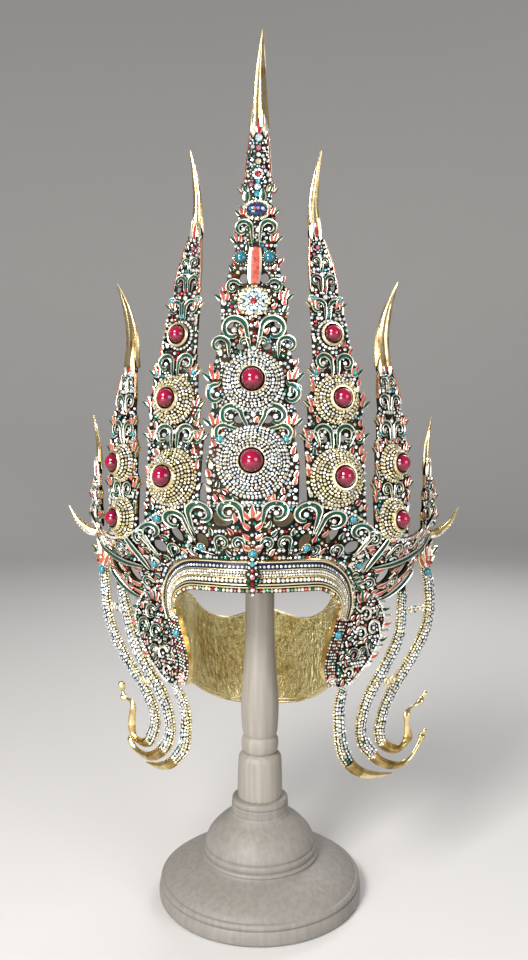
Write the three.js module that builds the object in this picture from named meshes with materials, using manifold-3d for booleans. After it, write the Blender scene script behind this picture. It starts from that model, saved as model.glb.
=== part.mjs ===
// Apsara stage headdress on its turned wooden stand.
// Millimetres, +Z up, front towards -Y, origin at the centre of the stand's underside.

import * as THREE from 'three';
import { mergeVertices } from 'three/addons/utils/BufferGeometryUtils.js';
import Module from 'manifold-3d';

const wasm = await Module();
wasm.setup();

// Driving dimensions
const gap = 0.3;                // clearance between neighbouring pieces
const crownRadius = 170;        // plan radius of the crown's upper edge
const crownCentreY = 65;        // centre of that arc, behind the stand's axis
const wallEnd = 80;             // azimuth in degrees where the crown wall ends
const wallThick = 3;
const panelThick = 3;
const reliefHeight = 2.4;       // how far scrolls stand proud of their plate
const reliefSunk = 0.6;         // how far they reach into it, so that they fuse
const bandThick = 6;            // brow band, without its ridges
const bandRidge = 1.2;          // extra height of each moulded ridge
const cheekThick = 4;
const napeThick = 1.6;
const napeHem = 1.3;            // extra thickness of the nape plate's rolled hem
const wingRoot = { x: 67, y: -52 };
const wingTurn = Math.atan2(3, 4);
const strandHalf = 5.8;         // half the width of a jewelled strand
const strandDepth = 3.6;        // half its depth

// Straight runs or sides that stand for each round or curved form
const runs = {
  standFoot: 26, standColumn: 16, standCap: 20, headRing: 32, browBand: 28, crownWall: 32, napeAround: 18,
  napeUp: 4, lobes: 24, hole: 8, scroll: 3, setting: 14, gem: 12, tipLong: 7, tipRound: 6, hornLong: 8,
  strandRound: 8, spireFoot: 6, search: 200,
};

// Finishes
const gold = new THREE.MeshStandardMaterial({ color: 0xcfa544, roughness: 0.28, metalness: 1 });
const goldLeaf = new THREE.MeshStandardMaterial({ color: 0xc9a02c, roughness: 0.34, metalness: 1 });
const stones = new THREE.MeshStandardMaterial({ color: 0xd9d4c2, roughness: 0.2, metalness: 0.6 });
const ruby = new THREE.MeshStandardMaterial({ color: 0xb01020, roughness: 0.06, metalness: 0 });
const sapphire = new THREE.MeshStandardMaterial({ color: 0x1b2f5c, roughness: 0.08, metalness: 0 });
const wood = new THREE.MeshStandardMaterial({ color: 0xbcb1a6, roughness: 0.6, metalness: 0 });

const headdress = new THREE.Group();
const sides = [{ word: 'left', sign: -1 }, { word: 'right', sign: 1 }];

function addPiece(parent, name, geometry, material) {
  const mesh = new THREE.Mesh(closed(geometry), material);
  mesh.name = name;
  parent.add(mesh);
  return mesh;
}

// Shared-vertex copy of a geometry, with its faces pointing out.
function closed(geometry) {
  const bare = geometry.clone();
  for (const extra of ['normal', 'uv']) bare.deleteAttribute(extra);
  const merged = mergeVertices(bare, 1e-4);
  const at = merged.attributes.position;
  const corners = [0, 1, 2].map(() => new THREE.Vector3());
  const kept = [];
  let volume = 0;
  for (let i = 0; i < merged.index.count; i += 3) {
    const tri = [0, 1, 2].map((k) => merged.index.getX(i + k));
    if (new Set(tri).size < 3) continue;
    tri.forEach((vertex, k) => corners[k].fromBufferAttribute(at, vertex));
    volume += corners[0].dot(corners[1].clone().cross(corners[2]));
    kept.push(...tri);
  }
  if (volume < 0) kept.reverse();
  merged.setIndex(kept);
  return merged;
}

function toSolid(geometry) {
  const body = closed(geometry);
  const vertProperties = new Float32Array(body.attributes.position.array);
  const triVerts = new Uint32Array(body.index.array);
  return new wasm.Manifold(new wasm.Mesh({ numProp: 3, vertProperties, triVerts }));
}

function toGeometry(solid) {
  const mesh = solid.getMesh();
  const geometry = new THREE.BufferGeometry();
  geometry.setAttribute('position', new THREE.BufferAttribute(mesh.vertProperties, 3));
  geometry.setIndex(new THREE.BufferAttribute(mesh.triVerts, 1));
  return geometry;
}

// Fuses raised pieces to a body, then cuts the openings out of it.
function fuse(body, raised, openings = []) {
  let solid = toSolid(body);
  for (const piece of raised) solid = solid.add(toSolid(piece));
  for (const opening of openings) solid = solid.subtract(toSolid(opening));
  return toGeometry(solid);
}

function moved(geometry, place) {
  const copy = geometry.clone();
  const at = copy.attributes.position;
  const point = new THREE.Vector3();
  for (let i = 0; i < at.count; i += 1) {
    point.fromBufferAttribute(at, i);
    place(point);
    at.setXYZ(i, point.x, point.y, point.z);
  }
  return copy;
}

function mirrored(geometry, sign) {
  return sign > 0 ? geometry : geometry.clone().scale(-1, 1, 1);
}

// A sheet bent to any form: place receives u and v from 0 to 1 and w from -1 (back) to 1 (front).
function bentSheet(stepsU, stepsV, place) {
  const flat = new THREE.BoxGeometry(1, 1, 1, stepsU, stepsV, 1);
  return moved(flat, (p) => p.copy(place(p.x + 0.5, p.y + 0.5, 2 * p.z)));
}

// A solid turned about Z from rows of radius and height that start and end on the axis.
function turned(rows, segments) {
  const profile = rows.map((row) => new THREE.Vector2(row.r, row.h));
  return new THREE.LatheGeometry(profile, segments).rotateX(Math.PI / 2);
}

function curveOf(rows, columns) {
  const [a, b, c] = columns;
  const points = rows.map((row) => new THREE.Vector3(row[a], row[b] ?? 0, row[c] ?? 0));
  return new THREE.CatmullRomCurve3(points, false, 'catmullrom', 0.5);
}

// A closed rod along rows of x, y, z, half (width) and depth (half depth), its depth axis near facing.
function rod(rows, steps, ringSides, facing) {
  const path = curveOf(rows, ['x', 'y', 'z']);
  const section = curveOf(rows, ['half', 'depth']);
  const across = new THREE.Vector3();
  const forward = new THREE.Vector3();
  const cylinder = new THREE.CylinderGeometry(1, 1, 1, ringSides, steps);
  return moved(cylinder, (p) => {
    const t = p.y + 0.5;
    const tangent = path.getTangent(t);
    const size = section.getPoint(t);
    across.crossVectors(tangent, facing).normalize();
    forward.crossVectors(across, tangent);
    const { x, z } = p;
    p.copy(path.getPoint(t)).addScaledVector(across, x * size.x).addScaledVector(forward, z * size.y);
  });
}

// A thick arc, the body of one scroll, lying flat with its back sunk into its plate.
function scroll({ out, up, radius, width, from, sweep }) {
  const shape = new THREE.Shape();
  const start = THREE.MathUtils.degToRad(from);
  const end = start + THREE.MathUtils.degToRad(sweep);
  shape.absarc(out, up, radius, start, end, false);
  shape.absarc(out, up, radius - width, end, start, true);
  const depth = reliefHeight + reliefSunk;
  return new THREE.ExtrudeGeometry(shape, { depth, bevelEnabled: false, curveSegments: runs.scroll });
}

// Stand: a stepped round foot, a turned column and the domed cap that carries the headdress
const standFoot = [
  { r: 0, h: 0 }, { r: 98, h: 0 }, { r: 100, h: 3 }, { r: 99, h: 8 }, { r: 96.5, h: 9.5 }, { r: 96, h: 16 },
  { r: 89, h: 24 }, { r: 70, h: 33 }, { r: 50, h: 41 }, { r: 54, h: 43 }, { r: 55, h: 50 }, { r: 54, h: 56 },
  { r: 47, h: 65 }, { r: 36, h: 75 }, { r: 28.5, h: 80 }, { r: 27.5, h: 96 }, { r: 0, h: 96 },
];
const standColumn = [
  { r: 0, h: 96 + gap }, { r: 22, h: 96 + gap }, { r: 21, h: 136 }, { r: 16, h: 141 }, { r: 18.3, h: 149 },
  { r: 16, h: 157 }, { r: 18, h: 172 }, { r: 18.5, h: 190 }, { r: 16, h: 226 }, { r: 14.3, h: 256 },
  { r: 14, h: 340 - gap }, { r: 0, h: 340 - gap },
];
const standCap = [
  { r: 0, h: 340 }, { r: 66, h: 340 }, { r: 70, h: 344 }, { r: 68.5, h: 352 }, { r: 62, h: 368 },
  { r: 47, h: 386 }, { r: 25, h: 398 }, { r: 0, h: 402 },
];
addPiece(headdress, 'stand_base', turned(standFoot, runs.standFoot), wood);
addPiece(headdress, 'stand_column', turned(standColumn, runs.standColumn), wood);
addPiece(headdress, 'stand_cap', turned(standCap, runs.standCap), wood);

// Brow band: half of its path, from the middle of the forehead round to the end of the side leg
const browRows = [
  { x: 0, y: -101, z: 333, width: 28, face: 0 },
  { x: 22, y: -98, z: 333, width: 28, face: 13 },
  { x: 42, y: -89, z: 332.5, width: 28, face: 27 },
  { x: 60, y: -74, z: 329.5, width: 27, face: 37 },
  { x: 74, y: -57.5, z: 318, width: 23, face: 41 },
  { x: 80, y: -47, z: 301, width: 17, face: 40 },
  { x: 77.5, y: -44.5, z: 284, width: 14, face: 37 },
  { x: 71.5, y: -48.7, z: 265, width: 13, face: 37 },
  { x: 66.5, y: -52.4, z: 248, width: 13, face: 37 },
  { x: 66, y: -52.8, z: 235, width: 12.5, face: 37 },
  { x: 68, y: -51.5, z: 224, width: 10, face: 37 },
];
const browLeft = browRows.slice(1).reverse().map((row) => ({ ...row, x: -row.x, face: -row.face }));
const browFull = [...browLeft, ...browRows];
const browPath = curveOf(browFull, ['x', 'y', 'z']);
const browSection = curveOf(browFull, ['width', 'face']);
const browRidges = 5;

function browPoint(u, v, w) {
  const tangent = browPath.getTangent(u);
  const { x: width, y: face } = browSection.getPoint(u);
  const turn = THREE.MathUtils.degToRad(face);
  const front = new THREE.Vector3(Math.sin(turn), -Math.cos(turn), 0);
  const upward = new THREE.Vector3().crossVectors(tangent, front).normalize().negate();
  const ridge = w > 0 && Math.round(v * browRidges) % 2 === 0 ? bandRidge : 0;
  return browPath.getPoint(u)
    .addScaledVector(upward, (v - 0.5) * width)
    .addScaledVector(front, w * bandThick / 2 + ridge);
}
addPiece(headdress, 'brow_band', bentSheet(runs.browBand, browRidges, browPoint), gold);

// A flat piece with lobes all round, such as a flower, standing on the plane z = 0
function lobed({ wide, high, lobes, depth, lobe = 0.14, points = runs.lobes }) {
  const outline = [];
  for (let i = 0; i < points; i += 1) {
    const turn = (2 * Math.PI * i) / points;
    const reach = 1 - lobe + lobe * Math.cos(lobes * turn);
    outline.push(new THREE.Vector2(wide / 2 * reach * Math.cos(turn), high / 2 * reach * Math.sin(turn)));
  }
  return new THREE.ExtrudeGeometry(new THREE.Shape(outline), { depth, bevelEnabled: false });
}

const ornament = addPiece(
  headdress, 'brow_ornament', lobed({ wide: 13, high: 34, lobes: 4, depth: 5 }), gold);
ornament.position.set(0, -101 - bandThick / 2 - bandRidge - gap, 334);
ornament.rotation.x = Math.PI / 2;

// Crown wall: foot and top of its right half, one row for every ten degrees of azimuth
const wallRows = [
  { x: 0, y: -103, z: 347.6, top: 394.7 },
  { x: 20.5, y: -101, z: 347.6, top: 394.5 },
  { x: 40, y: -93.5, z: 347.6, top: 393 },
  { x: 59, y: -81, z: 346.5, top: 386 },
  { x: 77, y: -64, z: 337, top: 368 },
  { x: 91, y: -38, z: 312, top: 359.5 },
  { x: 113, y: -17.5, z: 300, top: 360 },
  { x: 139, y: 2, z: 314, top: 361 },
  { x: 160, y: 17.6, z: 345, top: 362 },
];
const wallFoot = curveOf(wallRows, ['x', 'y', 'z']);
const wallTop = curveOf(wallRows, ['top']);

function wallTopAt(azimuth) {
  return wallTop.getPoint(Math.min(Math.abs(azimuth) / wallEnd, 1)).x;
}

function wallMiddle(azimuth, rise) {
  const turn = THREE.MathUtils.degToRad(Math.abs(azimuth));
  const along = Math.abs(azimuth) / wallEnd;
  const foot = wallFoot.getPoint(along);
  const top = new THREE.Vector3(
    crownRadius * Math.sin(turn), crownCentreY - crownRadius * Math.cos(turn), wallTopAt(azimuth));
  const point = foot.lerp(top, rise);
  if (azimuth < 0) point.x *= -1;
  return point;
}

// A point of the crown wall: azimuth in degrees, rise from 0 (foot) to 1 (top), out in millimetres
function wallPoint(azimuth, rise, out) {
  const step = azimuth > 0 ? -0.5 : 0.5;
  const point = wallMiddle(azimuth, rise);
  const along = wallMiddle(azimuth + step, rise).sub(point).multiplyScalar(Math.sign(step));
  const outward = new THREE.Vector3(along.y, -along.x, 0).normalize();
  return point.addScaledVector(outward, out);
}

const wallSheet = bentSheet(runs.crownWall, 1, (u, v, w) => {
  return wallPoint((2 * u - 1) * wallEnd, v, w * wallThick / 2);
});

// Lays a flat piece, drawn in millimetres around (0, 0), on the wall at an azimuth and a rise
function ontoWall(flat, azimuth, rise, sink) {
  const reach = wallMiddle(azimuth, 1).distanceTo(wallMiddle(azimuth, 0));
  const perDegree = wallMiddle(azimuth + 1, rise).distanceTo(wallMiddle(azimuth, rise));
  return moved(flat, (p) => {
    p.copy(wallPoint(azimuth + p.x / perDegree, rise + p.y / reach, p.z + wallThick / 2 - sink));
  });
}

// Openings and scrolls of the wall's right half; the left half mirrors them
const wallOpenings = [
  { azimuth: 9.5, rise: 0.77, wide: 17, high: 14 },
  { azimuth: 19, rise: 0.35, wide: 12, high: 14 },
  { azimuth: 28, rise: 0.5, wide: 10, high: 16 },
  { azimuth: 37, rise: 0.42, wide: 12, high: 14 },
  { azimuth: 47, rise: 0.35, wide: 11, high: 15 },
  { azimuth: 56, rise: 0.35, wide: 11, high: 18 },
  { azimuth: 65, rise: 0.4, wide: 10, high: 15 },
];
const wallScrolls = [
  { azimuth: 4.2, rise: 0.66, radius: 8, width: 3.4, from: 100, sweep: 230 },
  { azimuth: 15.5, rise: 0.68, radius: 9, width: 3.6, from: -120, sweep: 240 },
  { azimuth: 23.5, rise: 0.62, radius: 9, width: 3.6, from: 60, sweep: 240 },
  { azimuth: 32.5, rise: 0.6, radius: 9, width: 3.6, from: -100, sweep: 240 },
  { azimuth: 42, rise: 0.62, radius: 10, width: 3.8, from: 70, sweep: 230 },
  { azimuth: 51.5, rise: 0.6, radius: 10, width: 3.8, from: -110, sweep: 230 },
  { azimuth: 61, rise: 0.66, radius: 10, width: 3.8, from: 70, sweep: 230 },
  { azimuth: 72, rise: 0.45, radius: 11, width: 4, from: -110, sweep: 230 },
];
const cutDepth = 12;
const wallCuts = [];
const wallRelief = [];
for (const { sign } of sides) {
  for (const { azimuth, rise, wide, high } of wallOpenings) {
    const hole = lobed({ wide, high, lobes: 2, depth: cutDepth, lobe: 0, points: runs.hole });
    wallCuts.push(ontoWall(hole, sign * azimuth, rise, wallThick / 2 + cutDepth / 2));
  }
  for (const { azimuth, rise, ...arc } of wallScrolls) {
    const flat = mirrored(scroll({ out: 0, up: 0, ...arc }), sign);
    wallRelief.push(ontoWall(flat, sign * azimuth, rise, reliefSunk));
  }
}
addPiece(headdress, 'crown_wall', fuse(wallSheet, wallRelief, wallCuts), gold);

// Head ring: a plain conical band between the crown and the stand's cap, oval where it meets the crown
const ringLower = { r: 84, h: 337 };
const ringUpper = { r: 69.5, h: 352 };
const ringThick = 2.4;
const ringOval = 0.12;          // how much deeper than wide its lower edge is
const ringProfile = [
  ringLower, { r: ringLower.r + ringThick, h: ringLower.h }, { r: ringUpper.r + ringThick, h: ringUpper.h },
  ringUpper, ringLower,
];
const headRing = moved(turned(ringProfile, runs.headRing), (p) => {
  p.y *= 1 + ringOval * (ringUpper.h - p.z) / (ringUpper.h - ringLower.h);
});
addPiece(headdress, 'head_ring', headRing, gold);

// Nape plate: lower and upper edge of its right half, from the back round to the cheek plate
const napeLower = [
  { x: 0, y: 90, z: 160 }, { x: 34, y: 83, z: 164 }, { x: 54, y: 62, z: 177 },
  { x: 65, y: 30, z: 195 }, { x: 71, y: -5, z: 213 }, { x: 75, y: -41.6, z: 228 },
];
const napeUpper = [
  { x: 0, y: 97, z: 262 }, { x: 40, y: 88, z: 254 }, { x: 62, y: 66, z: 266 },
  { x: 74, y: 36, z: 289 }, { x: 81, y: 0, z: 299 }, { x: 85, y: -34.2, z: 296 },
];
const bothWays = (rows) => [...rows.slice(1).reverse().map((row) => ({ ...row, x: -row.x })), ...rows];
const napeFoot = curveOf(bothWays(napeLower), ['x', 'y', 'z']);
const napeTop = curveOf(bothWays(napeUpper), ['x', 'y', 'z']);

function napePoint(u, v, w) {
  const foot = napeFoot.getPoint(u);
  const top = napeTop.getPoint(u);
  const tangent = napeFoot.getTangent(u);
  const upward = top.clone().sub(foot);
  const outward = new THREE.Vector3().crossVectors(upward, tangent).normalize();
  const half = napeThick / 2 + (v === 0 ? napeHem : 0);
  return foot.lerp(top, v).addScaledVector(outward, w * half);
}
addPiece(headdress, 'nape_plate', bentSheet(runs.napeAround, runs.napeUp, napePoint), goldLeaf);

// Spires: outline rows give the height up the plate, half the width there and the middle's drift outwards;
// tip rows add how far the plain gold point bends forward
const centerOutline = [
  { up: 34, half: 41 }, { up: 62, half: 35 }, { up: 77, half: 39.5 }, { up: 84, half: 35.5 },
  { up: 116, half: 40 }, { up: 122, half: 35 }, { up: 150, half: 29 }, { up: 184, half: 31 },
  { up: 189, half: 26.5 }, { up: 220, half: 18.5 }, { up: 234, half: 20.5 }, { up: 238, half: 18 },
  { up: 257, half: 17 }, { up: 261, half: 12.6 }, { up: 277, half: 15 }, { up: 281, half: 12.5 },
  { up: 327, half: 8.3 },
];
const innerOutline = [
  { up: 29, half: 29 }, { up: 52, half: 29.5 }, { up: 68, half: 30.5 }, { up: 74, half: 27, drift: 2 },
  { up: 96, half: 29, drift: 4 }, { up: 101, half: 25, drift: 4 }, { up: 124, half: 24, drift: 4 },
  { up: 129, half: 20.5, drift: 3 }, { up: 166, half: 17.5 }, { up: 182, half: 17, drift: -1.5 },
  { up: 186, half: 14.5, drift: -2 }, { up: 211, half: 12.5, drift: -4.5 },
  { up: 241, half: 6.5, drift: -8.5 },
];
const outerOutline = [
  { up: 22, half: 25 }, { up: 52, half: 26.5, drift: 1 }, { up: 58, half: 22.5, drift: 1 },
  { up: 84, half: 24, drift: 2 }, { up: 89, half: 20.5, drift: 2 }, { up: 108, half: 20.5, drift: 2 },
  { up: 113, half: 17, drift: 1 }, { up: 128, half: 16, drift: -1.5 }, { up: 152, half: 10, drift: -6 },
];
const smallOutline = [
  { up: 14, half: 14 }, { up: 20, half: 11.5 }, { up: 34, half: 12.5 }, { up: 39, half: 9.5 },
  { up: 56, half: 5.5, drift: -4 },
];
const centerTip = [
  { up: 327, half: 8 }, { up: 355, half: 6.2 }, { up: 386, half: 3.8, drift: 1.5 },
  { up: 417, half: 0.5, drift: 4 },
];
const innerTip = [
  { up: 241, half: 6.3, drift: -8.5 }, { up: 266, half: 4.2, drift: -9, bend: 2 },
  { up: 291, half: 2.6, drift: -6, bend: 5 }, { up: 314, half: 0.5, drift: -2, bend: 9 },
];
const outerTip = [
  { up: 152, half: 9.6, drift: -6 }, { up: 178, half: 7.6, drift: -7, bend: 1 },
  { up: 204, half: 4.6, drift: -3, bend: 5 }, { up: 228, half: 0.5, drift: 4, bend: 12 },
];
const smallTip = [
  { up: 56, half: 5.2, drift: -4 }, { up: 82, half: 3.4, drift: -4, bend: 1 },
  { up: 110, half: 0.5, drift: 2, bend: 3 },
];
const centerScrolls = [
  { out: 26, up: 78, radius: 9.5, width: 3.6, from: -60, sweep: 240 },
  { out: 28, up: 138, radius: 8.5, width: 3.4, from: 60, sweep: 240 },
  { out: 12.5, up: 148, radius: 9, width: 3.6, from: -30, sweep: 240 },
  { out: 18, up: 200, radius: 7, width: 3, from: -60, sweep: 240 },
  { out: 9, up: 231, radius: 6.5, width: 2.8, from: -60, sweep: 250 },
];
const innerScrolls = [
  { out: 18, up: 63, radius: 8, width: 3.2, from: -60, sweep: 240 },
  { out: 16, up: 122, radius: 7, width: 3, from: -60, sweep: 240 },
  { out: 8.5, up: 177, radius: 6.5, width: 2.8, from: -60, sweep: 240 },
];
const outerScrolls = [
  { out: 12, up: 97, radius: 7.5, width: 3, from: -60, sweep: 240 },
  { out: 7, up: 125, radius: 6, width: 2.6, from: -60, sweep: 240 },
];
const centerOpenings = [
  { out: 34, up: 61, wide: 5, high: 9 }, { out: 12, up: 73, wide: 9, high: 7 },
  { out: 11.5, up: 136, wide: 7, high: 6 }, { out: 21, up: 157, wide: 7, high: 11 },
  { out: 9, up: 195, wide: 7, high: 9 }, { out: 7, up: 268, wide: 5, high: 9 },
];
const innerOpenings = [
  { out: 9, up: 60, wide: 6, high: 6 }, { out: 8, up: 122, wide: 6, high: 7 },
  { out: 6, up: 195, wide: 5, high: 10 },
];
const outerOpenings = [{ out: 11, up: 46, wide: 6, high: 5 }, { out: 5, up: 104, wide: 5, high: 9 }];
const spires = [
  { name: 'center', azimuth: 0, face: 0, lean: 7, pair: false, footHalf: 39, outline: centerOutline,
    tip: centerTip, scrolls: centerScrolls, openings: centerOpenings },
  { name: 'inner', azimuth: 25, face: 25, lean: 7, pair: true, footHalf: 28, outline: innerOutline,
    tip: innerTip, scrolls: innerScrolls, openings: innerOpenings },
  { name: 'outer', azimuth: 46, face: 46, lean: 2.5, pair: true, footHalf: 24, outline: outerOutline,
    tip: outerTip, scrolls: outerScrolls, openings: outerOpenings },
  { name: 'small', azimuth: 76, face: 52, lean: 0, pair: true, footHalf: 12, outline: smallOutline,
    tip: smallTip, scrolls: [], openings: [] },
];
const footGap = 0.8;            // clearance between a leaning plate's foot and the wall
const tipSeat = 0.6;            // how far a gold point's foot stands above its plate's end
const tipFlatness = 0.55;       // depth of a gold point as a share of its width
const onPlate = panelThick / 2 + gap;

// The plate's edge from its foot, which follows the wall, up both sides to the point's seat
function spireShape({ azimuth, lean, footHalf, outline }) {
  const shape = new THREE.Shape();
  const footHeight = wallTopAt(azimuth);
  for (let i = 0; i <= runs.spireFoot; i += 1) {
    const along = footHalf * (2 * i / runs.spireFoot - 1);
    const angle = azimuth + THREE.MathUtils.radToDeg(Math.atan(along / crownRadius));
    const up = (wallTopAt(angle) - footHeight) / Math.cos(THREE.MathUtils.degToRad(lean));
    if (i === 0) shape.moveTo(along, up);
    else shape.lineTo(along, up);
  }
  for (const { up, half, drift = 0 } of outline) shape.lineTo(drift + half, up);
  for (const { up, half, drift = 0 } of outline.toReversed()) shape.lineTo(drift - half, up);
  return shape;
}

function spirePlate(spire) {
  const bothSides = (rows) => rows.flatMap((row) => [[row, 1], [row, -1]]);
  const sheet = new THREE.ExtrudeGeometry(spireShape(spire), { depth: panelThick, bevelEnabled: false });
  sheet.translate(0, 0, -panelThick / 2);
  const raised = bothSides(spire.scrolls).map(([row, sign]) => {
    return mirrored(scroll(row), sign).translate(0, 0, panelThick / 2 - reliefSunk);
  });
  const cuts = bothSides(spire.openings).map(([{ out, up, wide, high }, sign]) => {
    const hole = lobed({ wide, high, lobes: 2, depth: cutDepth, lobe: 0, points: runs.hole });
    return hole.translate(sign * out, up, -cutDepth / 2);
  });
  return fuse(sheet, raised, cuts);
}

function spireTip(rows) {
  const path = rows.map(({ up, half, drift = 0, bend = 0 }, i) => {
    return { x: drift, y: i === 0 ? up + tipSeat : up, z: bend, half, depth: half * tipFlatness };
  });
  return rod(path, runs.tipLong, runs.tipRound, new THREE.Vector3(0, 0, 1));
}

// Settings: stepped domes crusted with stones, the gem each one holds, and plain ring settings
const settings = [
  { spire: 'center', name: 'low', up: 36, wide: 61, rise: 18, gem: 20.5 },
  { spire: 'center', name: 'high', up: 105, wide: 51, rise: 15, gem: 20 },
  { spire: 'inner', name: 'low', up: 26, wide: 49, rise: 16, gem: 18.5 },
  { spire: 'inner', name: 'high', up: 94, wide: 41, drift: 3.5, rise: 12.5, gem: 17.5 },
  { spire: 'inner', name: 'top', up: 151, wide: 23, drift: 1, rise: 5, gem: 16, plain: true },
  { spire: 'outer', name: 'low', up: 15.5, wide: 37.5, rise: 10, gem: 16.5 },
  { spire: 'outer', name: 'high', up: 66, wide: 33, drift: 2, rise: 10.5, gem: 16.5 },
];
const settingRim = 1.6;         // width of the rim round a gem
const seatDepth = 2;            // how deep a gem stands in its setting
const gemRise = 0.34;           // gem height as a share of its width

function dome({ wide, rise, gem }) {
  const r = wide / 2;
  const seat = gem / 2 + gap;
  return turned([
    { r: 0, h: 0 }, { r, h: 0 }, { r, h: rise * 0.22 }, { r: r * 0.8, h: rise * 0.45 },
    { r: r * 0.78, h: rise * 0.55 }, { r: Math.max(r * 0.56, seat + settingRim + 0.5), h: rise * 0.8 },
    { r: seat + settingRim, h: rise }, { r: seat, h: rise }, { r: seat, h: rise - seatDepth },
    { r: 0, h: rise - seatDepth },
  ], runs.setting);
}

function cabochon(gem, height) {
  const r = gem / 2;
  return turned([
    { r: 0, h: 0 }, { r, h: 0 }, { r: r * 0.98, h: height * 0.35 }, { r: r * 0.72, h: height * 0.76 },
    { r: 0, h: height },
  ], runs.gem);
}

const flower = { up: 174, wide: 29.5, lobes: 8, depth: 3.5 };
const crestStone = { up: 251, wide: 17, high: 11, rise: 5 };

function dressSpire(plate, spire, word, sign) {
  const suffix = word ? `_${word}` : '';
  for (const setting of settings.filter((row) => row.spire === spire.name)) {
    const { name, up, rise, gem, plain, drift = 0 } = setting;
    const kind = plain ? 'bezel' : `medallion_${spire.name}_${name}`;
    const mount = addPiece(plate, kind + suffix, dome(setting), plain ? gold : stones);
    mount.position.set(sign * drift, up, onPlate);
    const stone = addPiece(plate, `gem_${spire.name}_${name}${suffix}`, cabochon(gem, gem * gemRise), ruby);
    stone.position.set(sign * drift, up, onPlate + rise - seatDepth + gap);
  }
  if (spire.name !== 'center') return;
  const blossom = addPiece(plate, 'center_flower', lobed({ ...flower, high: flower.wide }), stones);
  blossom.position.set(0, flower.up, onPlate);
  const oval = cabochon(crestStone.wide, crestStone.rise).scale(1, crestStone.high / crestStone.wide, 1);
  const crest = addPiece(plate, 'crest_stone', oval, sapphire);
  crest.position.set(0, crestStone.up, onPlate);
}

for (const spire of spires) {
  for (const { word, sign } of spire.pair ? sides : [{ word: '', sign: 1 }]) {
    const suffix = word ? `_${word}` : '';
    const turn = new THREE.Group();
    turn.position.y = crownCentreY;
    turn.rotation.z = sign * THREE.MathUtils.degToRad(spire.azimuth);
    const stance = new THREE.Group();
    stance.position.set(0, -crownRadius, wallTopAt(spire.azimuth) + footGap);
    stance.rotation.z = sign * THREE.MathUtils.degToRad(spire.face - spire.azimuth);
    const plate = new THREE.Group();
    plate.rotation.x = THREE.MathUtils.degToRad(90 - spire.lean);
    addPiece(plate, `spire_${spire.name}${suffix}`, mirrored(spirePlate(spire), sign), gold);
    addPiece(plate, `tip_${spire.name}${suffix}`, mirrored(spireTip(spire.tip), sign), gold);
    dressSpire(plate, spire, word, sign);
    stance.add(plate);
    turn.add(stance);
    headdress.add(turn);
  }
}

// Sides: each hangs in a plane that runs back from the cheek; x runs outwards along it and z up
const cheekRows = [
  { up: 299, inner: 25.5, outer: 57 }, { up: 290, inner: 23, outer: 63 },
  { up: 277, inner: 18.5, outer: 66.5 }, { up: 256, inner: 9.6, outer: 59 },
  { up: 239, inner: 6.1, outer: 46 }, { up: 225, inner: 7.2, outer: 29 }, { up: 220.5, inner: 9.5, outer: 20 },
];
const strands = {
  outer: [
    { x: 114, z: 337.2, half: 3 }, { x: 120, z: 302 }, { x: 113, z: 266 }, { x: 91, z: 235 },
    { x: 62, z: 207, y: 3 }, { x: 52, z: 180, y: 5 }, { x: 64, z: 154, y: 5 }, { x: 84, z: 153, y: 5 },
    { x: 88, z: 171, y: 5 },
    { x: 96, z: 189, y: 5, half: 2.4 }, { x: 107, z: 202, y: 5, half: 0.6 },
  ],
  middle: [
    { x: 89, z: 310.5, half: 3 }, { x: 79, z: 261 }, { x: 60, z: 230 }, { x: 36, z: 206 }, { x: 28, z: 177 },
    { x: 44, z: 147 }, { x: 74, z: 136, half: 4 }, { x: 103, z: 148, half: 0.6 },
  ],
  inner: [
    { x: 16, z: 218.1, half: 3.2 }, { x: 5, z: 200, y: -4 }, { x: 4, z: 178, y: -9 },
    { x: 14, z: 152, y: -9 }, { x: 38, z: 134, y: -9, half: 4.5 }, { x: 71, z: 130, y: -9, half: 0.6 },
  ],
};
const strandSteps = { outer: 23, middle: 17, inner: 12 };
// How far each strand hangs away from its fixed upper end on either side
const strandSway = {
  outer: { left: -8, right: 10 }, middle: { left: -8, right: 7 }, inner: { left: -7, right: 0 },
};
const strandLink = { up: 282, radius: 1.4 };
const hornRows = [
  { x: 168.5, y: 30, z: 354, half: 5, depth: 3 }, { x: 176, y: 31, z: 356, half: 5, depth: 3 },
  { x: 188, y: 31, z: 366, half: 3.2, depth: 2 }, { x: 197, y: 30, z: 381, half: 0.5, depth: 0.4 },
];

const cheekShape = new THREE.Shape([
  ...cheekRows.map(({ up, outer }) => new THREE.Vector2(outer, up)),
  ...cheekRows.toReversed().map(({ up, inner }) => new THREE.Vector2(inner, up)),
]);
const cheek = new THREE.ExtrudeGeometry(cheekShape, { depth: cheekThick, bevelEnabled: false })
  .rotateX(Math.PI / 2).translate(0, cheekThick / 2, 0);
const horn = rod(hornRows, runs.hornLong, runs.tipRound, new THREE.Vector3(0, -1, 0));

// Rows of one strand on one side, all but its fixed upper end shifted by that side's sway
function strandRows(name, word) {
  return strands[name].map((row, i) => {
    const { half = strandHalf, y = 0 } = row;
    const x = i === 0 ? row.x : row.x + strandSway[name][word];
    return { x, y, z: row.z, half, depth: half * strandDepth / strandHalf };
  });
}

// How far out a strand hangs at a given height, searched from its upper end downwards
function strandOut(name, word, height) {
  const points = curveOf(strandRows(name, word), ['x', 'y', 'z']).getPoints(runs.search);
  return points.find((point) => point.z < height).x;
}

// The short bar between the outer and the middle strand
function linkBar(word) {
  const clear = strandHalf + 3 * gap;
  const from = strandOut('middle', word, strandLink.up) + clear;
  const to = strandOut('outer', word, strandLink.up) - clear;
  return new THREE.CylinderGeometry(strandLink.radius, strandLink.radius, to - from, runs.strandRound)
    .rotateZ(Math.PI / 2).translate((from + to) / 2, 0, strandLink.up);
}

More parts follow.
